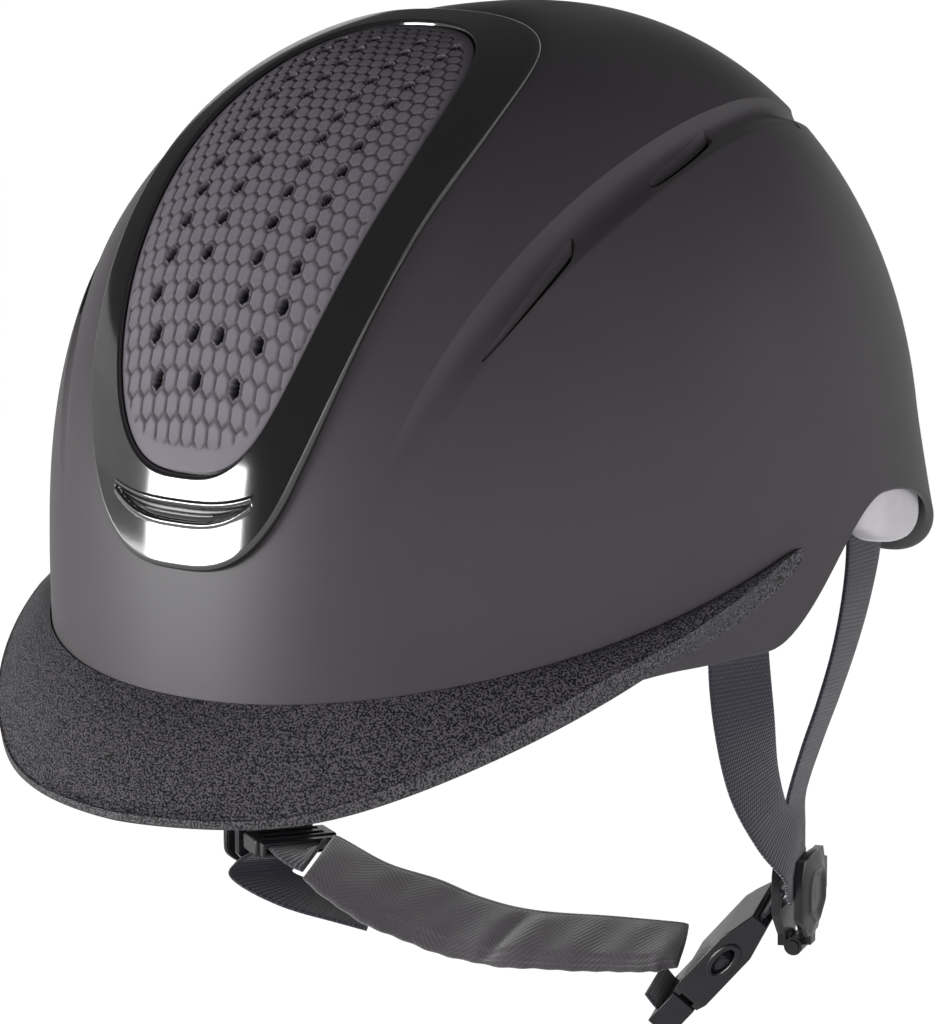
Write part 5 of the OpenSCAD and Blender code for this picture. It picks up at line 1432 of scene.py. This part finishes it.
def window_ring(name, sign, finish):
    """Raised oval ring round a side window of the buckle: a low arched section carried round an oval."""
    a = np.arange(56) / 56 * 360
    q = np.array([0, 0, 0.12, 0.35, 0.65, 0.88, 1, 1])
    h = np.array([-0.25, 0.3, 0.55, 0.7, 0.7, 0.55, 0.3, -0.25])
    x = sign * (14 + h[None] + 0 * a[:, None])
    y, z = mix(1.8, 3.5, q)[None] * cosd(a)[:, None], mix(4.8, 6.8, q)[None] * sind(a)[:, None] - 14
    points = placed(np.stack([x, y, z], -1), buckle_point)
    return make(name, points, finish, nodes=("buckle_socket",), slot="buckle_gloss", ring=True, crease=50)


def prong_head(name, sign, node, body, finish):
    """Domed oval button on a prong, seen in the buckle's side window: ovals that shrink as they rise."""
    a = np.arange(40) / 40 * 360
    s = np.array([1, 1, 0.93, 0.8, 0.6, 0.35, 0.1])
    h = np.array([12.6, 13.15, 13.24, 13.3, 13.33, 13.35, 13.36])
    x = sign * h[:, None] + 0 * a[None]
    y, z = 1.3 * s[:, None] * cosd(a)[None], 2.6 * s[:, None] * sind(a)[None] - 15.7
    points = placed(np.stack([x, y, z], -1), buckle_point)
    return make(name, points, finish, body=body, nodes=(node,), slot="buckle_gloss", crease=50)


class HELMET_OT_hardware(bpy.types.Operator):
    """Finishes the dividers, the buckle, the slider, the headband and the fit dial"""

    bl_idname = "helmet.hardware"
    bl_label = "Buckles and fit dial"

    def execute(self, context):
        black = moulded_finish()
        for side, place in (("left", DIVIDER_LEFT), ("right", DIVIDER_RIGHT)):
            softened(f"divider_base_{side}", 0.45, black)
            softened(f"divider_lever_{side}", 0.6, black, body=f"{side}_lever")
            lever_cap(f"divider_cap_{side}", place, side, black)
        softened("buckle_socket", 1.7, black)
        for side, sign in (("front", 1), ("rear", -1)):
            window_ring(f"window_ring_{side}", sign, black)
        for side, sign in (("front", 1), ("rear", -1)):
            prong_head(f"prong_head_{side}", sign, f"prong_{side}", f"{side}_prong", black)
        softened("buckle_tongue", 1.2, black, body="tongue")
        for side in ("front", "rear"):
            softened(f"prong_{side}", 0.4, black, body=f"{side}_prong")
        softened("ladder_slider", 0.9, black)
        softened("strap_keeper", 0.4, black)
        housing = softened("dial_housing", 0.7, black)
        # The housing's two lower outer corners are drawn up, as they would show under the rim beside the straps.
        place = np.empty(3 * len(housing.data.vertices))
        housing.data.vertices.foreach_get("co", place)
        place = place.reshape(-1, 3)
        corner = smooth((np.abs(place[:, 0]) - 0.02) / 0.009) * (1 - smooth((place[:, 2] + 0.0035) / 0.01))
        place[:, 2] += 0.006 * corner
        housing.data.vertices.foreach_set("co", place.ravel())
        softened("adjuster_dial", 0.5, black, body="dial")
        repaint(black, "headband_left", "headband_right", "nape_hanger", "housing_cover", "temple_studs")
        repaint(lining_finish(), "hook_dots")
        repaint(black, "divider_pin_left", "divider_pin_right")
        repaint(metal_finish(), "anchor_plates", "anchor_rivets", "cover_screws")
        repaint(nylon_finish(), "pinion", "rack_left", "rack_right")
        return {"FINISHED"}


# ---------------------------------------------------------------- stage
STUDIO_CENTRE = (0, 0, 0.06)
# The photograph's camera: azimuth, elevation, roll, pan and tilt in degrees, its distance in metres, and its focal
# length and the height of the picture in pixels.
CAMERA_TURNS = (38.234, 9.761, 0.12, -0.208, 0.594)
CAMERA_AWAY = 1.4017
FOCAL_PIXELS, PHOTO_PIXELS, SENSOR_MM = 5015.4, 1024, 36


def studio_rays(tree, mirrored):
    """Share of the studio's white that a ray sees: all of it from the camera and through glass, less in mirrors."""
    path = add(tree, "LightPath")
    mirrors = calc(tree, "MULTIPLY", path.outputs["Is Glossy Ray"], mirrored)
    seen = calc(tree, "MAXIMUM", path.outputs["Is Camera Ray"], mirrors)
    return calc(tree, "MAXIMUM", seen, path.outputs["Is Transmission Ray"])


def studio_paper():
    """White background paper, lit evenly from behind so that it shows as pure white round the helmet."""
    paper = bpy.data.materials.new("studio_paper")
    paper.use_nodes = True
    tree = paper.node_tree
    shader = tree.nodes["Principled BSDF"]
    shader.inputs["Base Color"].default_value = (*linear("#f0f0f0"), 1)
    shader.inputs["Roughness"].default_value = 0.9
    shader.inputs["Specular IOR Level"].default_value = 0.1
    glow = add(tree, "Emission", {"Color": (1, 1, 1, 1), "Strength": 1.1})
    share = calc(tree, "MULTIPLY", studio_rays(tree, 0.3), 0.9)
    blend = add(tree, "MixShader", {0: share, 1: shader.outputs[0], 2: glow.outputs[0]})
    tree.links.new(blend.outputs[0], tree.nodes["Material Output"].inputs["Surface"])
    return paper


def studio_object(name, vertices, faces, paper):
    """A part of the studio, made of paper."""
    mesh = bpy.data.meshes.new(name)
    mesh.from_pydata(vertices, [], faces)
    mesh.materials.append(paper)
    obj = bpy.data.objects.new(name, mesh)
    bpy.context.scene.collection.objects.link(obj)
    return obj


def softbox(name, place, target, width, height, power):
    """A rectangular lamp that faces the target."""
    lamp = bpy.data.lights.new(name, "AREA")
    lamp.shape = "RECTANGLE"
    lamp.size = width
    lamp.size_y = height
    lamp.energy = power
    obj = bpy.data.objects.new(name, lamp)
    obj.location = place
    obj.rotation_euler = (Vector(target) - Vector(place)).to_track_quat("-Z", "Y").to_euler()
    bpy.context.scene.collection.objects.link(obj)
    return obj


class HELMET_OT_stage(bpy.types.Operator):
    """Sets the pale floor, the soft studio light and the camera of the photograph"""

    bl_idname = "helmet.stage"
    bl_label = "Studio"

    def execute(self, context):
        scene = context.scene
        scene.view_settings.view_transform = "Standard"
        world = bpy.data.worlds.new("Studio")
        scene.world = world
        world.use_nodes = True
        tree = world.node_tree
        tree.nodes["Background"].inputs["Color"].default_value = (1, 1, 1, 1)
        strength = calc(tree, "MULTIPLY_ADD", studio_rays(tree, 0.05), 0.96, 0.04)
        tree.links.new(strength, tree.nodes["Background"].inputs["Strength"])
        paper = studio_paper()
        floor_z = cad_box[0][2] - 0.0008
        middle = CAMERA_TURNS[0] + 90
        turns = np.radians(np.linspace(middle - 112, middle + 112, 41))
        away = np.stack([-np.sin(turns - np.pi / 2), np.cos(turns - np.pi / 2)], -1)
        # Radius and height of the backdrop's rows: flat, then curved up behind the helmet.
        levels = [(0.02, 0.0), (2.2, 0.0), (2.7, 0.15), (2.9, 0.6), (2.9, 0.9)]
        rows = [np.column_stack([away * r, np.full(len(away), floor_z + h)]) for r, h in levels]
        wide = len(away)
        quads = [
            (r * wide + c, r * wide + c + 1, (r + 1) * wide + c + 1, (r + 1) * wide + c)
            for r in range(len(levels) - 1) for c in range(wide - 1)
        ]
        backdrop = studio_object("studio_backdrop", np.vstack(rows).tolist(), quads, paper)
        corners = [(2.2 * x, 2.2 * y, floor_z - 0.0005) for x, y in ((-1, -1), (1, -1), (1, 1), (-1, 1))]
        floor = studio_object("studio_floor", corners, [(0, 1, 2, 3)], paper)
        # One box mirrored in the frame, and four fills that show in no mirror.
        softbox("front_box", (-0.581, -0.941, 0.053), (0, -0.127, 0.055), 0.443, 0.3, 7.5)
        for name, place, width, power in (
            ("left_fill", (-1.47, -0.85, 0.06), 1.0, 34),
            ("camera_fill", (1.05, -1.34, 0.06), 1.6, 36),
            ("right_fill", (1.67, -0.3, 0.06), 1.0, 14),
            ("rear_fill", (1.3, 1.09, 0.06), 1.0, 7),
        ):
            softbox(name, place, STUDIO_CENTRE, width, 0.3, power).visible_glossy = False
        self.place_camera(scene)
        return {"FINISHED"}

    def place_camera(self, scene):
        """The camera looks along its azimuth and elevation, is then panned, tilted and rolled, and stands back."""
        camera = bpy.data.cameras.new("photo_camera")
        camera.sensor_fit = "VERTICAL"
        camera.sensor_height = SENSOR_MM
        camera.lens = FOCAL_PIXELS * SENSOR_MM / PHOTO_PIXELS
        camera.clip_start = 0.05
        obj = bpy.data.objects.new("photo_camera", camera)
        scene.collection.objects.link(obj)
        az, el, roll, pan, tilt = (math.radians(v) for v in CAMERA_TURNS)
        back = Vector((math.sin(az) * math.cos(el), -math.cos(az) * math.cos(el), math.sin(el)))
        right = Vector((math.cos(az), math.sin(az), 0))
        up = back.cross(right)
        view = Matrix((right, up, back))
        turn_y = Matrix(((math.cos(pan), 0, math.sin(pan)), (0, 1, 0), (-math.sin(pan), 0, math.cos(pan))))
        turn_x = Matrix(((1, 0, 0), (0, math.cos(tilt), -math.sin(tilt)), (0, math.sin(tilt), math.cos(tilt))))
        turn_z = Matrix(((math.cos(roll), -math.sin(roll), 0), (math.sin(roll), math.cos(roll), 0), (0, 0, 1)))
        pose = (turn_z @ turn_x @ turn_y @ view).transposed().to_4x4()
        pose.translation = back * CAMERA_AWAY + Vector(STUDIO_CENTRE)
        obj.matrix_world = pose
        scene.camera = obj


class HELMET_PT_panel(bpy.types.Panel):
    """Lists the steps that build the helmet"""

    bl_idname = "HELMET_PT_panel"
    bl_label = "Riding Helmet"
    bl_space_type = "VIEW_3D"
    bl_region_type = "UI"
    bl_category = "Helmet"

    def draw(self, context):
        for step in STEPS:
            self.layout.operator(step.bl_idname)
        for group in (context.scene.helmet_sizes, context.scene.helmet_colours):
            box = self.layout.box()
            for key in group.bl_rna.properties.keys():
                if key not in ("rna_type", "name"):
                    box.prop(group, key)


STEPS = (
    HELMET_OT_stage,
    HELMET_OT_shell,
    HELMET_OT_side_vents,
    HELMET_OT_visor,
    HELMET_OT_front_frame,
    HELMET_OT_vent_panel,
    HELMET_OT_liner,
    HELMET_OT_bolster,
    HELMET_OT_pads,
    HELMET_OT_straps,
    HELMET_OT_chin_pad,
    HELMET_OT_hardware,
)
CLASSES = (HelmetSizes, HelmetColours, *STEPS, HELMET_PT_panel)


def register():
    """Registers the classes and the two groups of properties."""
    for item in CLASSES:
        bpy.utils.register_class(item)
    bpy.types.Scene.helmet_sizes = PointerProperty(type=HelmetSizes)
    bpy.types.Scene.helmet_colours = PointerProperty(type=HelmetColours)


def unregister():
    """Takes away what register put in place."""
    del bpy.types.Scene.helmet_colours
    del bpy.types.Scene.helmet_sizes
    for item in reversed(CLASSES):
        bpy.utils.unregister_class(item)


def main():
    """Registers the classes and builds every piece."""
    register()
    for step in STEPS:
        group, name = step.bl_idname.split(".")
        getattr(getattr(bpy.ops, group), name)()


if __name__ == "__main__":
    main()
